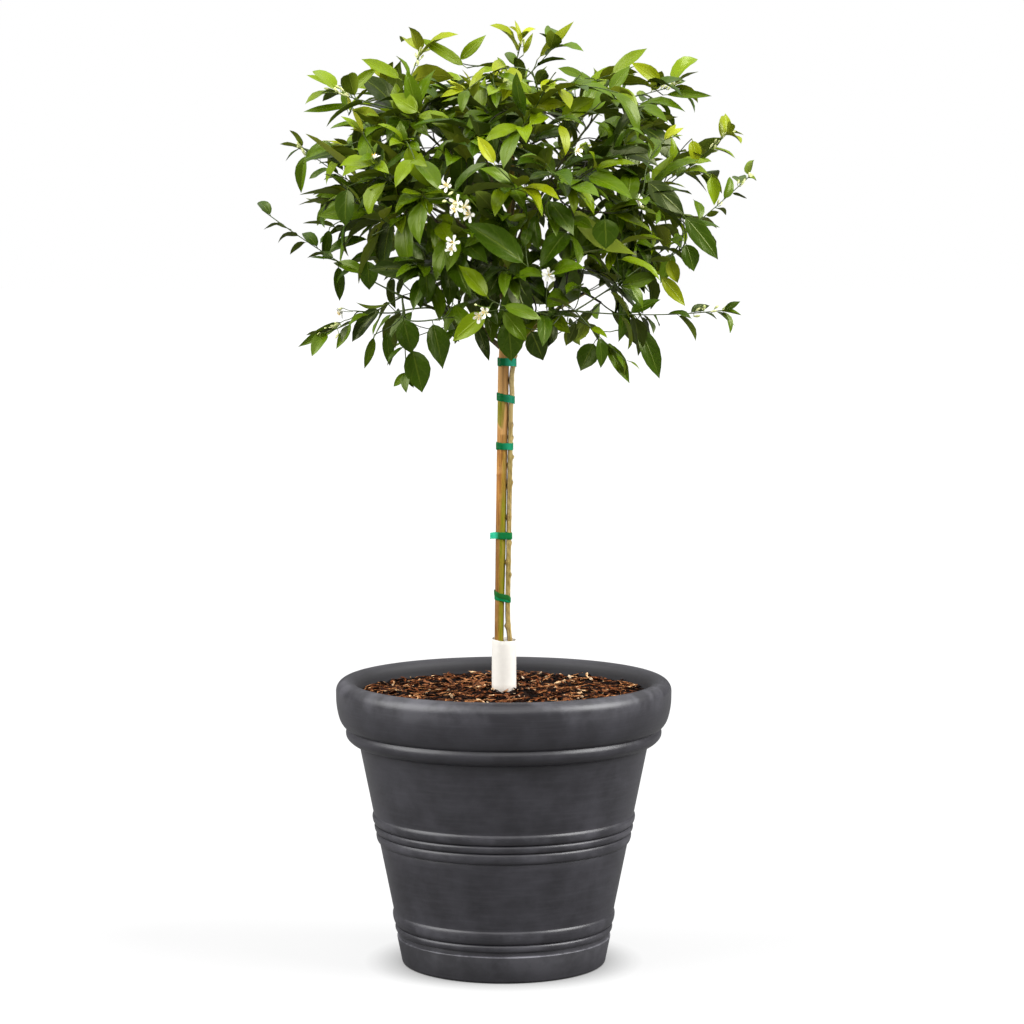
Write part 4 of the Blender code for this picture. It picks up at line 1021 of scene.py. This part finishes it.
for mass, radius in (("leaves_top", RADIUS_TOP), (STEM_MASS, STEM_TIP_RADIUS)):
    core = next(s["path"] for s in shoots if s["kind"] == "limb" and s["mass"] == mass)
    radii = np.linspace(radius * 0.96, 0.0020, len(core))
    make_piece(f"limb_end_{mass[7:]}", skin(tubes(core[None], radii[None], 12), core[[0, -1]][None]),
               [old_wood], sharp=70.0)

# Leaves. Leathery pointed blades on short stalks, set round each twig by a turn of 137.5 degrees
# and in a tuft at its end. They face the light, so those low in the head hang and those on top rise.
# A blade's rows along its length, from the stalk's foot, and its breadth there; the stalk has none.
LEAF_ROWS = np.array([0.0, 0.09, 0.14, 0.23, 0.37, 0.53, 0.69, 0.83, 0.94])
LEAF_BREADTH = np.array([0.0, 0.0, 0.42, 0.76, 0.98, 1.0, 0.82, 0.50, 0.16])
STALK_HALF_WIDTH, MIDRIB_THICKNESS, BLADE_BULGE, EDGE_WAVE = 0.0007, 0.0006, 0.10, 0.15
BLADE_COLUMNS = np.array([-1.0, -0.5, 0.0, 0.5, 1.0])
LEAF_SPACING, SPRIG_SPACING, LEAF_TURN = 0.0180, 0.026, np.radians(137.5)
LEAF_LENGTH, LEAF_WIDTH_SHARE, FAN_MIDDLE = 0.078, 0.37, (0.0, 0.0, 1.16)
# Shades of blade and underside, each from the darkest to the youngest growth; the darker shades also stand
# for painted shade low and deep in the head.
SHADES = {"deep": ("#223108", "#414f14"), "dark": ("#334a05", "#55641a"), "mid": ("#4b6305", "#6b7a1a"),
          "fresh": ("#687d05", "#7f891c"), "light": ("#808b08", "#90981e"), "lime": ("#9aa11c", "#a3a82c")}


def blades(base, ahead, up, length, width, bend, fold, twist, wave, rows=LEAF_ROWS, breadth=LEAF_BREADTH):
    """Points of many blades: (blades, points, 3), each row holding five places above and one below.

    The midrib is an arc of a circle in the plane of ahead and up, of the blade's length and total
    bend. Each row has its share of the width, and no less than the stalk's. The halves rise by the
    fold, bulge between midrib and edge, and their edges wave. The midrib is 0.6 mm thick.
    """
    n = len(base)
    along = rows[None, :]
    angle = np.maximum(np.abs(bend), 1e-3)[:, None] * np.where(bend < 0, -1, 1)[:, None]
    forward = np.sin(angle * along) / angle
    down = (1 - np.cos(angle * along)) / angle
    sideways = np.cross(ahead, up)
    half = width[:, None] * breadth / 2
    half = np.maximum(half, STALK_HALF_WIDTH * np.clip(length / 0.05, 0.3, 1)[:, None])
    turn = twist[:, None] * along
    local_up = (up[:, None] * np.cos(angle * along)[..., None]
                + ahead[:, None] * np.sin(angle * along)[..., None])
    across = sideways[:, None] * np.cos(turn)[..., None] + local_up * np.sin(turn)[..., None]
    over = local_up * np.cos(turn)[..., None] - sideways[:, None] * np.sin(turn)[..., None]
    middle = base[:, None] + length[:, None, None] * (forward[..., None] * ahead[:, None]
                                                      - down[..., None] * up[:, None])
    s = BLADE_COLUMNS[None, None, :]
    lift = ((0.6 * np.abs(s) + 0.4 * s ** 2) * np.tan(fold)[:, None, None]
            + BLADE_BULGE * (1 - (2 * np.abs(s) - 1) ** 2))
    phase = wave[:, None, None] + 2.2 * (s > 0)
    lift = lift + EDGE_WAVE * s ** 2 * np.sin(2 * np.pi * 1.2 * along[..., None] + phase)
    above = (middle[:, :, None] + (half[..., None] * s)[..., None] * across[:, :, None]
             + (half[..., None] * lift)[..., None] * over[:, :, None])
    under = middle - MIDRIB_THICKNESS * np.clip(half / 0.004, 0.3, 1)[..., None] * over
    points = np.concatenate([above, under[:, :, None]], axis=2).reshape(n, -1, 3)
    tip = base + length[:, None] * (np.sin(angle) / angle * ahead - (1 - np.cos(angle)) / angle * up)
    return np.concatenate([points, (base - 0.0005 * ahead)[:, None], tip[:, None]], axis=1)


def blade_faces(count, rows):
    """Faces, UVs and sides (0 above, 1 below) of blades, closed all round by a shared edge."""
    r, c = (a.reshape(-1) for a in np.meshgrid(np.arange(rows - 1), np.arange(4), indexing="ij"))
    above = np.stack([6 * r + c, 6 * r + c + 1, 6 * r + c + 7, 6 * r + c + 6], 1)
    r = np.arange(rows - 1)
    left = np.stack([6 * r, 6 * r + 6, 6 * r + 11, 6 * r + 5], 1)
    right = np.stack([6 * r + 5, 6 * r + 11, 6 * r + 10, 6 * r + 4], 1)
    root, tip, last, c = 6 * rows, 6 * rows + 1, 6 * (rows - 1), np.arange(4)
    ends_above = np.vstack([np.stack([0 * c + root, c + 1, c], 1),
                            np.stack([last + c, last + c + 1, 0 * c + tip], 1)])
    ends_below = np.array([(root, 0, 5), (root, 5, 4), (last, tip, last + 5), (last + 5, tip, last + 4)])
    quads, fans = np.vstack([above, left, right]), np.vstack([ends_above, ends_below])
    u = np.append(np.tile([0, 0.25, 0.5, 0.75, 1, 0.5], rows), [0.5, 0.5])
    v = np.append(np.repeat(np.arange(rows) / rows, 6), [0, 1])
    place = np.stack([u, v], 1)
    shift = (np.arange(count) * (6 * rows + 2))[:, None, None]
    faces = [(f[None] + shift).reshape(-1, f.shape[1]) for f in (quads, fans)]
    uvs = [np.tile(place[f], (count, 1, 1)) for f in (quads, fans)]
    side = np.concatenate([np.tile(np.repeat([0, 1], [len(above), 2 * (rows - 1)]), count),
                           np.tile(np.repeat([0, 1], [8, 4]), count)])
    return faces, uvs, side


def blade_finish(name, colour, vein, roughness, relief):
    """A waxed leaf skin: the blade's shade, each leaf a touch lighter or darker, with a paler
    midrib, side veins about 17 mm apart and a fine leathery grain."""
    tree, link = finish(name, IOR=1.42, Specular_IOR_Level=0.50, Specular_Tint=linear("#dde4a6"))
    surface = add(tree, "UVMap", uv_map="surface")
    places = add(tree, "TexCoord", out="Object")
    tone = add(tree, "Attribute", out="Fac", attribute_name="tone")
    mottle = add(tree, "TexNoise", {"Vector": places, "Scale": 55.0, "Detail": 3.0})
    grain = add(tree, "TexNoise", {"Vector": places, "Scale": 700.0, "Detail": 2.0})
    across, along = (add(tree, "SeparateXYZ", {0: surface}, out=axis) for axis in "XY")
    off = add(tree, "Math", {0: across, 1: 0.5}, operation="SUBTRACT")
    off = add(tree, "Math", {0: off}, operation="ABSOLUTE")
    midrib = add(tree, "MapRange", {"Value": off, "From Min": 0.012, "From Max": 0.045,
                                    "To Min": 1.0, "To Max": 0.0})
    # Side veins that slant forwards from the midrib: one at every second whole number of rank.
    slant = add(tree, "Math", {0: off, 1: -5.0}, operation="MULTIPLY")
    rank = add(tree, "Math", {0: along, 1: 9.0, 2: slant}, operation="MULTIPLY_ADD")
    saw = add(tree, "Math", {0: rank, 1: 1.0}, operation="PINGPONG")
    side_vein = add(tree, "MapRange", {"Value": saw, "From Max": 0.24, "To Min": 0.3, "To Max": 0.0})
    lines = add(tree, "Math", {0: midrib, 1: side_vein}, operation="MAXIMUM")
    shown = add(tree, "Math", {0: lines, 1: 0.22}, operation="MULTIPLY")
    # Each leaf is deeper at its foot than at its tip.
    tone = add(tree, "Math", {0: along, 1: 0.5, 2: tone}, operation="MULTIPLY_ADD")
    own = np.array(linear(colour)[:3])
    base, lighter = (*own * 0.68, 1.0), (*np.clip(own * 1.4, 0, 1), 1.0)
    for share, shade in ((tone, lighter), (mottle, colour), (shown, vein)):
        base = add(tree, "Mix", {0: share, 6: base, 7: shade}, out=2, data_type="RGBA")
    rough = add(tree, "MapRange", {"Value": mottle, "To Min": roughness - 0.08, "To Max": roughness + 0.08})
    veins = add(tree, "Bump", {"Height": lines, "Distance": 0.0005, "Strength": relief})
    return link(Base_Color=base, Roughness=rough,
                Normal=add(tree, "Bump", {"Height": grain, "Distance": 0.00015, "Strength": 0.5,
                                          "Normal": veins}))


leaf = {k: [] for k in ("base", "way", "turn", "length", "kind", "shade", "mass")}


def set_leaf(*values):
    """Note one leaf: where its stalk stands, the twig's heading there, its turn, length and kind."""
    for key, value in zip(leaf, values):
        leaf[key].append(value)


def along_path(path, distance):
    """Place and heading at a distance along a path."""
    run = np.concatenate([[0], np.cumsum(np.linalg.norm(np.diff(path, axis=0), axis=1))])
    place = np.array([np.interp(distance, run, path[:, k]) for k in range(3)])
    k = int(np.clip(np.searchsorted(run, distance), 1, len(path) - 1))
    return place, unit(path[k] - path[k - 1])


# Kinds of leaf: on the side of a twig, in a tuft at its end, young, or on a sprig; and how far
# each kind stands off its twig, in degrees.
SIDE, TUFT, YOUNG, SPRIG = range(4)
KIND_SPREAD = np.array([60.0, 36.0, 24.0, 56.0])
# A spray is paler the higher it stands in the head and the nearer to its outline, and by chance: partly
# younger growth, partly painted light on top and outside and painted shade low and inside.
HEAD_FOOT, HEAD_HEIGHT, YOUNG_SHARE = 0.98, 0.59, 0.24
HEIGHT_LIGHT, OUTSIDE_LIGHT, CHANCE_LIGHT = 0.75, 0.8, 1.3
shade_names = list(SHADES)
sprig_sizes = [size for _, size, _ in SPRIGS.values()]
for shoot, size_share in zip(twigs + sprigs, [1.0] * len(twigs) + sprig_sizes):
    path, is_sprig = shoot["path"], shoot["kind"] == "sprig"
    length = np.linalg.norm(np.diff(path, axis=0), axis=1).sum()
    share = min(float(head_share(path[-1])), 0.95)
    high = (path[-1][2] - HEAD_FOOT) / HEAD_HEIGHT
    brightness = HEIGHT_LIGHT * high + OUTSIDE_LIGHT * (share - 0.65) + CHANCE_LIGHT * growth.normal(0, 0.20)
    level = int(np.clip(np.floor(0.40 + 2.9 * brightness), 0, 4))
    spacing = SPRIG_SPACING * size_share ** 0.5 if is_sprig else LEAF_SPACING
    turn = growth.uniform(0, 2 * np.pi)
    distance = (0.25 * length if is_sprig else max(0.012, 0.22 * length)) + growth.uniform(0, spacing)
    while distance < length - 0.006:
        place, way = along_path(path, distance)
        if head_share(place) > growth.uniform(0.42, 0.66):
            size = LEAF_LENGTH * np.exp(growth.normal(0, 0.20)) * size_share
            shade = int(np.clip(level + growth.integers(-1, 2) * (growth.random() < 0.45), 0, 4))
            set_leaf(place, way, turn, size, SPRIG if is_sprig else SIDE, shade_names[shade], shoot["mass"])
        turn += LEAF_TURN + growth.normal(0, 0.25)
        distance += spacing * growth.uniform(0.75, 1.25)
    if shoot["kind"] == "front":
        continue
    young = high > 0.60 and share > 0.74 and growth.random() < YOUNG_SHARE
    way = unit(path[-1] - path[-2])
    for k in range(int(growth.integers(3, 5))):
        size = LEAF_LENGTH * np.exp(growth.normal(0, 0.20)) * (0.50 if young else 0.88) * size_share
        shade = "lime" if young and k < 2 else shade_names[min(level + (1 if k else 0), 4)]
        kind = SPRIG if is_sprig else YOUNG if young else TUFT
        set_leaf(path[-1] - 0.002 * k * way, way, turn, size, kind, shade, shoot["mass"])
        turn += LEAF_TURN

base, way = np.array(leaf["base"]), np.array(leaf["way"])
turn, length, kind = (np.array(leaf[k]) for k in ("turn", "length", "kind"))
count = len(base)
level_up = np.array([0, 0, 1.0])
fan = unit(base - np.array(FAN_MIDDLE))
spoke = unit(level_up - way * way[:, 2:] + 1e-4)
other = np.cross(way, spoke)
round_twig = spoke * np.cos(turn)[:, None] + other * np.sin(turn)[:, None]
spread = np.radians(KIND_SPREAD[kind] + growth.normal(0, 11, count))[:, None]
high = np.clip((base[:, 2] - 1.05) / 0.42, 0, 1)
rise = (-0.85 + 1.30 * high + growth.normal(0, 0.30, count))[:, None]
ahead = unit(way * np.cos(spread) + round_twig * np.sin(spread) + 0.60 * fan
             + level_up * np.where(kind == SPRIG, 0.2, 1.0)[:, None] * rise)
facing_up = level_up * 0.8 + fan * 0.45 + growth.normal(0, 0.36, (count, 3))
width = length * LEAF_WIDTH_SHARE * np.exp(growth.normal(0, 0.10, count)) * np.where(kind == YOUNG, 0.75, 1.0)
bend = np.radians(np.clip(growth.normal(34, 16, count) + 20 * high, 5, 90))
bend *= np.where(kind == YOUNG, 0.5, 1.0)
tip_share = head_share(base + ahead * length[:, None])
kept = (kind == SPRIG) | (tip_share < 0.985 + np.abs(growth.normal(0, 0.035, count)))
kept &= ~in_gap(base + 0.7 * ahead * length[:, None]) | (kind == SPRIG)

foot = np.array([f[0] for f in FRONT_LEAVES])
tip = np.array([(f[1][0], f[0][1] - 0.12 * np.hypot(f[1][0] - f[0][0], f[1][1] - f[0][2]), f[1][1])
                for f in FRONT_LEAVES])
front_length = np.linalg.norm(tip - foot, axis=1) * 1.06
count += len(foot)
base, ahead = np.vstack([base, foot]), np.vstack([ahead, unit(tip - foot)])
length = np.append(length, front_length)
width = np.append(width, [f[2] for f in FRONT_LEAVES])
bend = np.append(bend, np.radians(growth.uniform(10, 26, len(foot))))
facing_up = np.vstack([facing_up, np.array([0, -0.9, 0.5]) + growth.normal(0, 0.15, (len(foot), 3))])
kept = np.append(kept, np.full(len(foot), True))
shades_of = np.append(leaf["shade"], [f[3] for f in FRONT_LEAVES])
# The leaves placed in front count as the first mass's: they replace no more than the rest do.
masses_of = np.append(leaf["mass"], np.full(len(foot), mass_names[0]))
up = unit(facing_up - ahead * (facing_up * ahead).sum(axis=1, keepdims=True))
fold = np.radians(np.clip(growth.normal(16, 7, count), 0, 38))
leaf_points = blades(base, ahead, up, length, width, bend, fold, growth.normal(0, 0.35, count),
                     growth.uniform(0, 2 * np.pi, count))
low_corner, high_corner = (np.array(c) for c in cad_box)
kept &= ((leaf_points >= low_corner) & (leaf_points <= high_corner)).all(axis=(1, 2))
tones = growth.normal(0.25, 0.20, count)
for shade, (blade, under) in SHADES.items():
    chosen = kept & (shades_of == shade)
    points = leaf_points[chosen]
    faces, uvs, side = blade_faces(len(points), len(LEAF_ROWS))
    skins = [blade_finish(f"leaf_blade_{shade}", blade, "#8c9a34", 0.28, 0.7),
             blade_finish(f"leaf_underside_{shade}", under, "#98a044", 0.60, 0.9)]
    make_piece(f"leaves_{shade}", (points.reshape(-1, 3), faces, uvs), skins,
               sorted(set(masses_of[chosen])), {"tone": np.repeat(tones[chosen], points.shape[1])}, side,
               sharp=65.0)

# Blossom. Waxy white flowers with five straps of petals round a ring of stamens, singly or up to
# four together at the ends of twigs, with closed buds beside them and at the tips of the sprigs.
BUDDING_SPRIGS = ("leader", "top_left", "upper_left", "upper_right", "left_high", "right_high", "right",
                  "right_low", "back", "low_left")
PETALS, PETAL_LENGTH, PETAL_WIDTH, STAMENS = 5, 0.0135, 0.0058, 12
STAMEN_RADIUS, ANTHER_LENGTH, ANTHER_RADIUS, STALK_RADIUS = 0.0004, 0.0022, 0.0007, 0.0006
BUD_LENGTH, BUD_RADIUS, BUDS_PER_SPRIG = 0.0098, 0.0020, 9
PETAL_ROWS = np.array([0.0, 0.20, 0.42, 0.64, 0.84, 0.95])
PETAL_BREADTH = np.array([0.24, 0.38, 0.66, 0.95, 1.0, 0.62])
bloom = np.random.default_rng(5)


def smooth_skin_finish(name, colour, tinge, roughness):
    """Petals, stamens, anthers and buds: soft waxy tissue, tinged where it is young, veined finely."""
    tree, link = finish(name, Roughness=roughness, IOR=1.40)
    places = add(tree, "TexCoord", out="Object")
    clouds = add(tree, "TexNoise", {"Vector": places, "Scale": 160.0, "Detail": 3.0})
    young = add(tree, "MapRange", {"Value": clouds, "From Min": 0.45, "From Max": 0.75})
    base = add(tree, "Mix", {0: young, 6: colour, 7: tinge}, out=2, data_type="RGBA")
    return link(Base_Color=base, Normal=add(tree, "Bump", {"Height": clouds, "Distance": 0.0003,
                                                           "Strength": 0.4}))


def spindles(feet, headings, lengths, radii, profile, sides=6):
    """Straight closed spindles: rings along each heading with the profile times its radius."""
    t = np.linspace(0, 1, len(profile))
    paths = feet[:, None] + headings[:, None] * (t * lengths[:, None])[..., None]
    return skin(tubes(paths, radii[:, None] * np.array(profile), sides), paths[:, [0, -1]])


def drawn_headings(headings, spread):
    """Headings drawn about others: the sum of each and a normal draw of the spread, scaled to one."""
    return unit(headings + bloom.normal(0, spread, headings.shape))


flower_place, flower_way, twig_end = [], [], []
for x, y, z, number in CLUSTERS:
    twig_end += [(x, y, z)] * number
    out = unit(np.array([x, y, z]) - np.array(FAN_MIDDLE))
    flower_place += [np.array([x, y, z]) + bloom.normal(0, 0.009, 3) + 0.008 * out for _ in range(number)]
    flower_way += [out + np.array([0, 0, 0.15])] * number
flower_place, flower_way = np.array(flower_place), drawn_headings(np.array(flower_way), 0.35)
flowers = len(flower_place)
side_way = unit(np.cross(flower_way, [0.1, 0.2, 1.0]))
far_way = np.cross(flower_way, side_way)
turn = circle(PETALS)[None] + bloom.uniform(0, 6, (flowers, 1))
petal_out = side_way[:, None] * np.cos(turn)[..., None] + far_way[:, None] * np.sin(turn)[..., None]
opening = bloom.uniform(0.30, 1.05, (flowers, 1, 1))
petal_ahead = unit(petal_out * opening + flower_way[:, None] * 0.55).reshape(-1, 3)
petal_up = np.repeat(flower_way, PETALS, axis=0)
petal_up = unit(petal_up - petal_ahead * (petal_up * petal_ahead).sum(axis=1, keepdims=True))
petals = len(petal_ahead)
petal_points = blades(np.repeat(flower_place, PETALS, axis=0), petal_ahead, petal_up,
                      PETAL_LENGTH * np.exp(bloom.normal(0, 0.08, petals)),
                      PETAL_WIDTH * np.exp(bloom.normal(0, 0.08, petals)),
                      np.radians(bloom.uniform(15, 60, petals)), np.full(petals, 0.15),
                      bloom.normal(0, 0.15, petals), bloom.uniform(0, 6, petals), PETAL_ROWS, PETAL_BREADTH)
faces, uvs, _ = blade_faces(petals, len(PETAL_ROWS))
make_piece("blossom_petals", (petal_points.reshape(-1, 3), faces, uvs),
           [smooth_skin_finish("petal_tissue", "#fbfaf2", "#eef0d4", 0.45)], sharp=65.0)
stamen_foot = np.repeat(flower_place, STAMENS, axis=0)
stamen_way = drawn_headings(np.repeat(flower_way, STAMENS, axis=0), 0.28)
stamen_length = bloom.uniform(0.0065, 0.0090, len(stamen_foot))
same = np.ones(len(stamen_foot))
make_piece("blossom_stamens",
           spindles(stamen_foot, stamen_way, stamen_length, STAMEN_RADIUS * same, [1.2, 1.0, 0.8], 4),
           [smooth_skin_finish("stamen_tissue", "#f0eed2", "#dfe0a8", 0.50)])
anther_foot = stamen_foot + stamen_way * stamen_length[:, None]
make_piece("blossom_anthers",
           spindles(anther_foot, stamen_way, ANTHER_LENGTH * same, ANTHER_RADIUS * same, [0.6, 1.0, 0.6], 5),
           [smooth_skin_finish("anther_pollen", "#e6c94a", "#cfa22e", 0.70)])
budding = [shoot["path"] for shoot, name in zip(sprigs, SPRIGS) if name in BUDDING_SPRIGS]
bud_twig = np.array([path[-1 - k % 4] for path in budding for k in range(BUDS_PER_SPRIG)])
bud_way = [unit(path[-1] - path[-3]) + np.array([0, 0, 0.5]) for path in budding]
bud_way = np.repeat(bud_way, BUDS_PER_SPRIG, axis=0)
twig_end = np.array(twig_end)
bud_foot = np.vstack([bud_twig + bloom.normal(0, 0.0030, bud_twig.shape),
                      flower_place[::2] + bloom.normal(0, 0.008, flower_place[::2].shape)])
bud_twig = np.vstack([bud_twig, twig_end[::2]])
bud_way = drawn_headings(np.vstack([bud_way, flower_way[::2]]), 0.35)
bud_length = BUD_LENGTH * np.exp(bloom.normal(0, 0.2, len(bud_foot)))
bud_radius = BUD_RADIUS * np.exp(bloom.normal(0, 0.15, len(bud_foot)))
make_piece("flower_buds",
           spindles(bud_foot, bud_way, bud_length, bud_radius, [0.35, 0.75, 1.0, 0.9, 0.45], 7),
           [smooth_skin_finish("bud_tissue", "#dfe0a2", "#a9bd4e", 0.45)])
starts, ends = np.vstack([twig_end, bud_twig]), np.vstack([flower_place, bud_foot])
stalks = starts[:, None] + (ends - starts)[:, None] * np.linspace(0, 1, 5)[:, None]
stalks[:, 1:4, 2] -= 0.0015 * np.array([0.7, 1.0, 0.7])
stalk_radii = np.full(stalks.shape[:2], STALK_RADIUS)
make_piece("flower_stalks", skin(tubes(stalks, stalk_radii, 5), stalks[:, [0, -1]]),
           [smooth_skin_finish("stalk_tissue", "#7d9440", "#5d7a26", 0.50)])

# Floor, light and camera. A plain pale floor under an even surround that is lighter overhead, a
# broad lamp high on either side, a faint one in front, and a camera at standing height.
FLOOR_REACH, FLOOR_GLOW, CONTACT_REACH = 40.0, 0.72, 0.065
floor_mesh = bpy.data.meshes.new("floor")
corners = [(FLOOR_REACH * x, FLOOR_REACH * y, 0) for x, y in ((-1, -1), (1, -1), (1, 1), (-1, 1))]
floor_mesh.from_pydata(corners, [], [(0, 1, 2, 3)])
floor = bpy.data.objects.new("floor", floor_mesh)
bpy.context.scene.collection.objects.link(floor)
tree, link = finish("backlit_paper", Base_Color=linear("#6e6e6e"), Roughness=1.0, Specular_IOR_Level=0.0,
                    Emission_Color=(1.0, 1.0, 1.0, 1.0))
# To the camera it glows, so that shadows on it stay as faint as on a light table; close under the planter the
# glow fades with ambient occlusion, a painted contact shadow.
seen = add(tree, "LightPath", out="Is Camera Ray")
open_sky = add(tree, "AmbientOcclusion", {"Distance": CONTACT_REACH}, out="AO")
shown = add(tree, "Math", {0: seen, 1: open_sky}, operation="MULTIPLY")
floor_mesh.materials.append(link(Emission_Strength=add(tree, "Math", {0: shown, 1: FLOOR_GLOW},
                                                       operation="MULTIPLY")))
floor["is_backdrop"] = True

world = bpy.data.worlds.new("studio_surround")
world.use_nodes = True
tree = world.node_tree
SURROUND_LEVEL, SURROUND_RISE = 0.10, 1.70
direction = add(tree, "TexCoord", out="Generated")
rise = add(tree, "SeparateXYZ", {0: direction}, out="Z")
upward = add(tree, "Math", {0: rise, 1: 0.0}, operation="MAXIMUM")
overhead = add(tree, "Math", {0: upward, 1: 2.0}, operation="POWER")
glow = add(tree, "Math", {0: overhead, 1: SURROUND_RISE, 2: SURROUND_LEVEL}, operation="MULTIPLY_ADD")
seen = add(tree, "LightPath", out="Is Camera Ray")
glow = add(tree, "Mix", {0: seen, 2: glow, 3: 1.0}, data_type="FLOAT")
tree.links.new(glow, tree.nodes["Background"].inputs["Strength"])
tree.nodes["Background"].inputs["Color"].default_value = (1.0, 1.0, 1.0, 1.0)
bpy.context.scene.world = world
bpy.context.scene.view_settings.view_transform = "Standard"

# Each lamp: the angle round from the right and above the level that it comes from, its breadth in
# degrees, and its strength.
LAMPS = {"key": (-17.0, 32.0, 40.0, 4.8), "fill": (198.0, 30.0, 54.0, 4.0), "front": (-88.0, 35.0, 40.0, 0.7)}
for name, (azimuth, elevation, breadth, strength) in LAMPS.items():
    lamp = bpy.data.lights.new(name, "SUN")
    lamp.energy, lamp.angle = strength, np.radians(breadth)
    stand = bpy.data.objects.new(name, lamp)
    stand.rotation_euler = (np.radians(90.0 - elevation), 0.0, np.radians(azimuth + 90.0))
    bpy.context.scene.collection.objects.link(stand)

CAMERA_PLACE, CAMERA_TILT, CAMERA_LENS = (0.0138, -5.4, 1.28), 5.511, 114.57
camera = bpy.data.objects.new("camera", bpy.data.cameras.new("camera"))
camera.data.lens = CAMERA_LENS
camera.data.sensor_width = 36.0
camera.location = CAMERA_PLACE
camera.rotation_euler = (np.radians(90.0 - CAMERA_TILT), 0.0, 0.0)
bpy.context.scene.collection.objects.link(camera)
bpy.context.scene.camera = camera

boxes = {"cad": cad_box, "visual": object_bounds()}
{k: [[float(x) for x in corner] for corner in v] for k, v in boxes.items()}
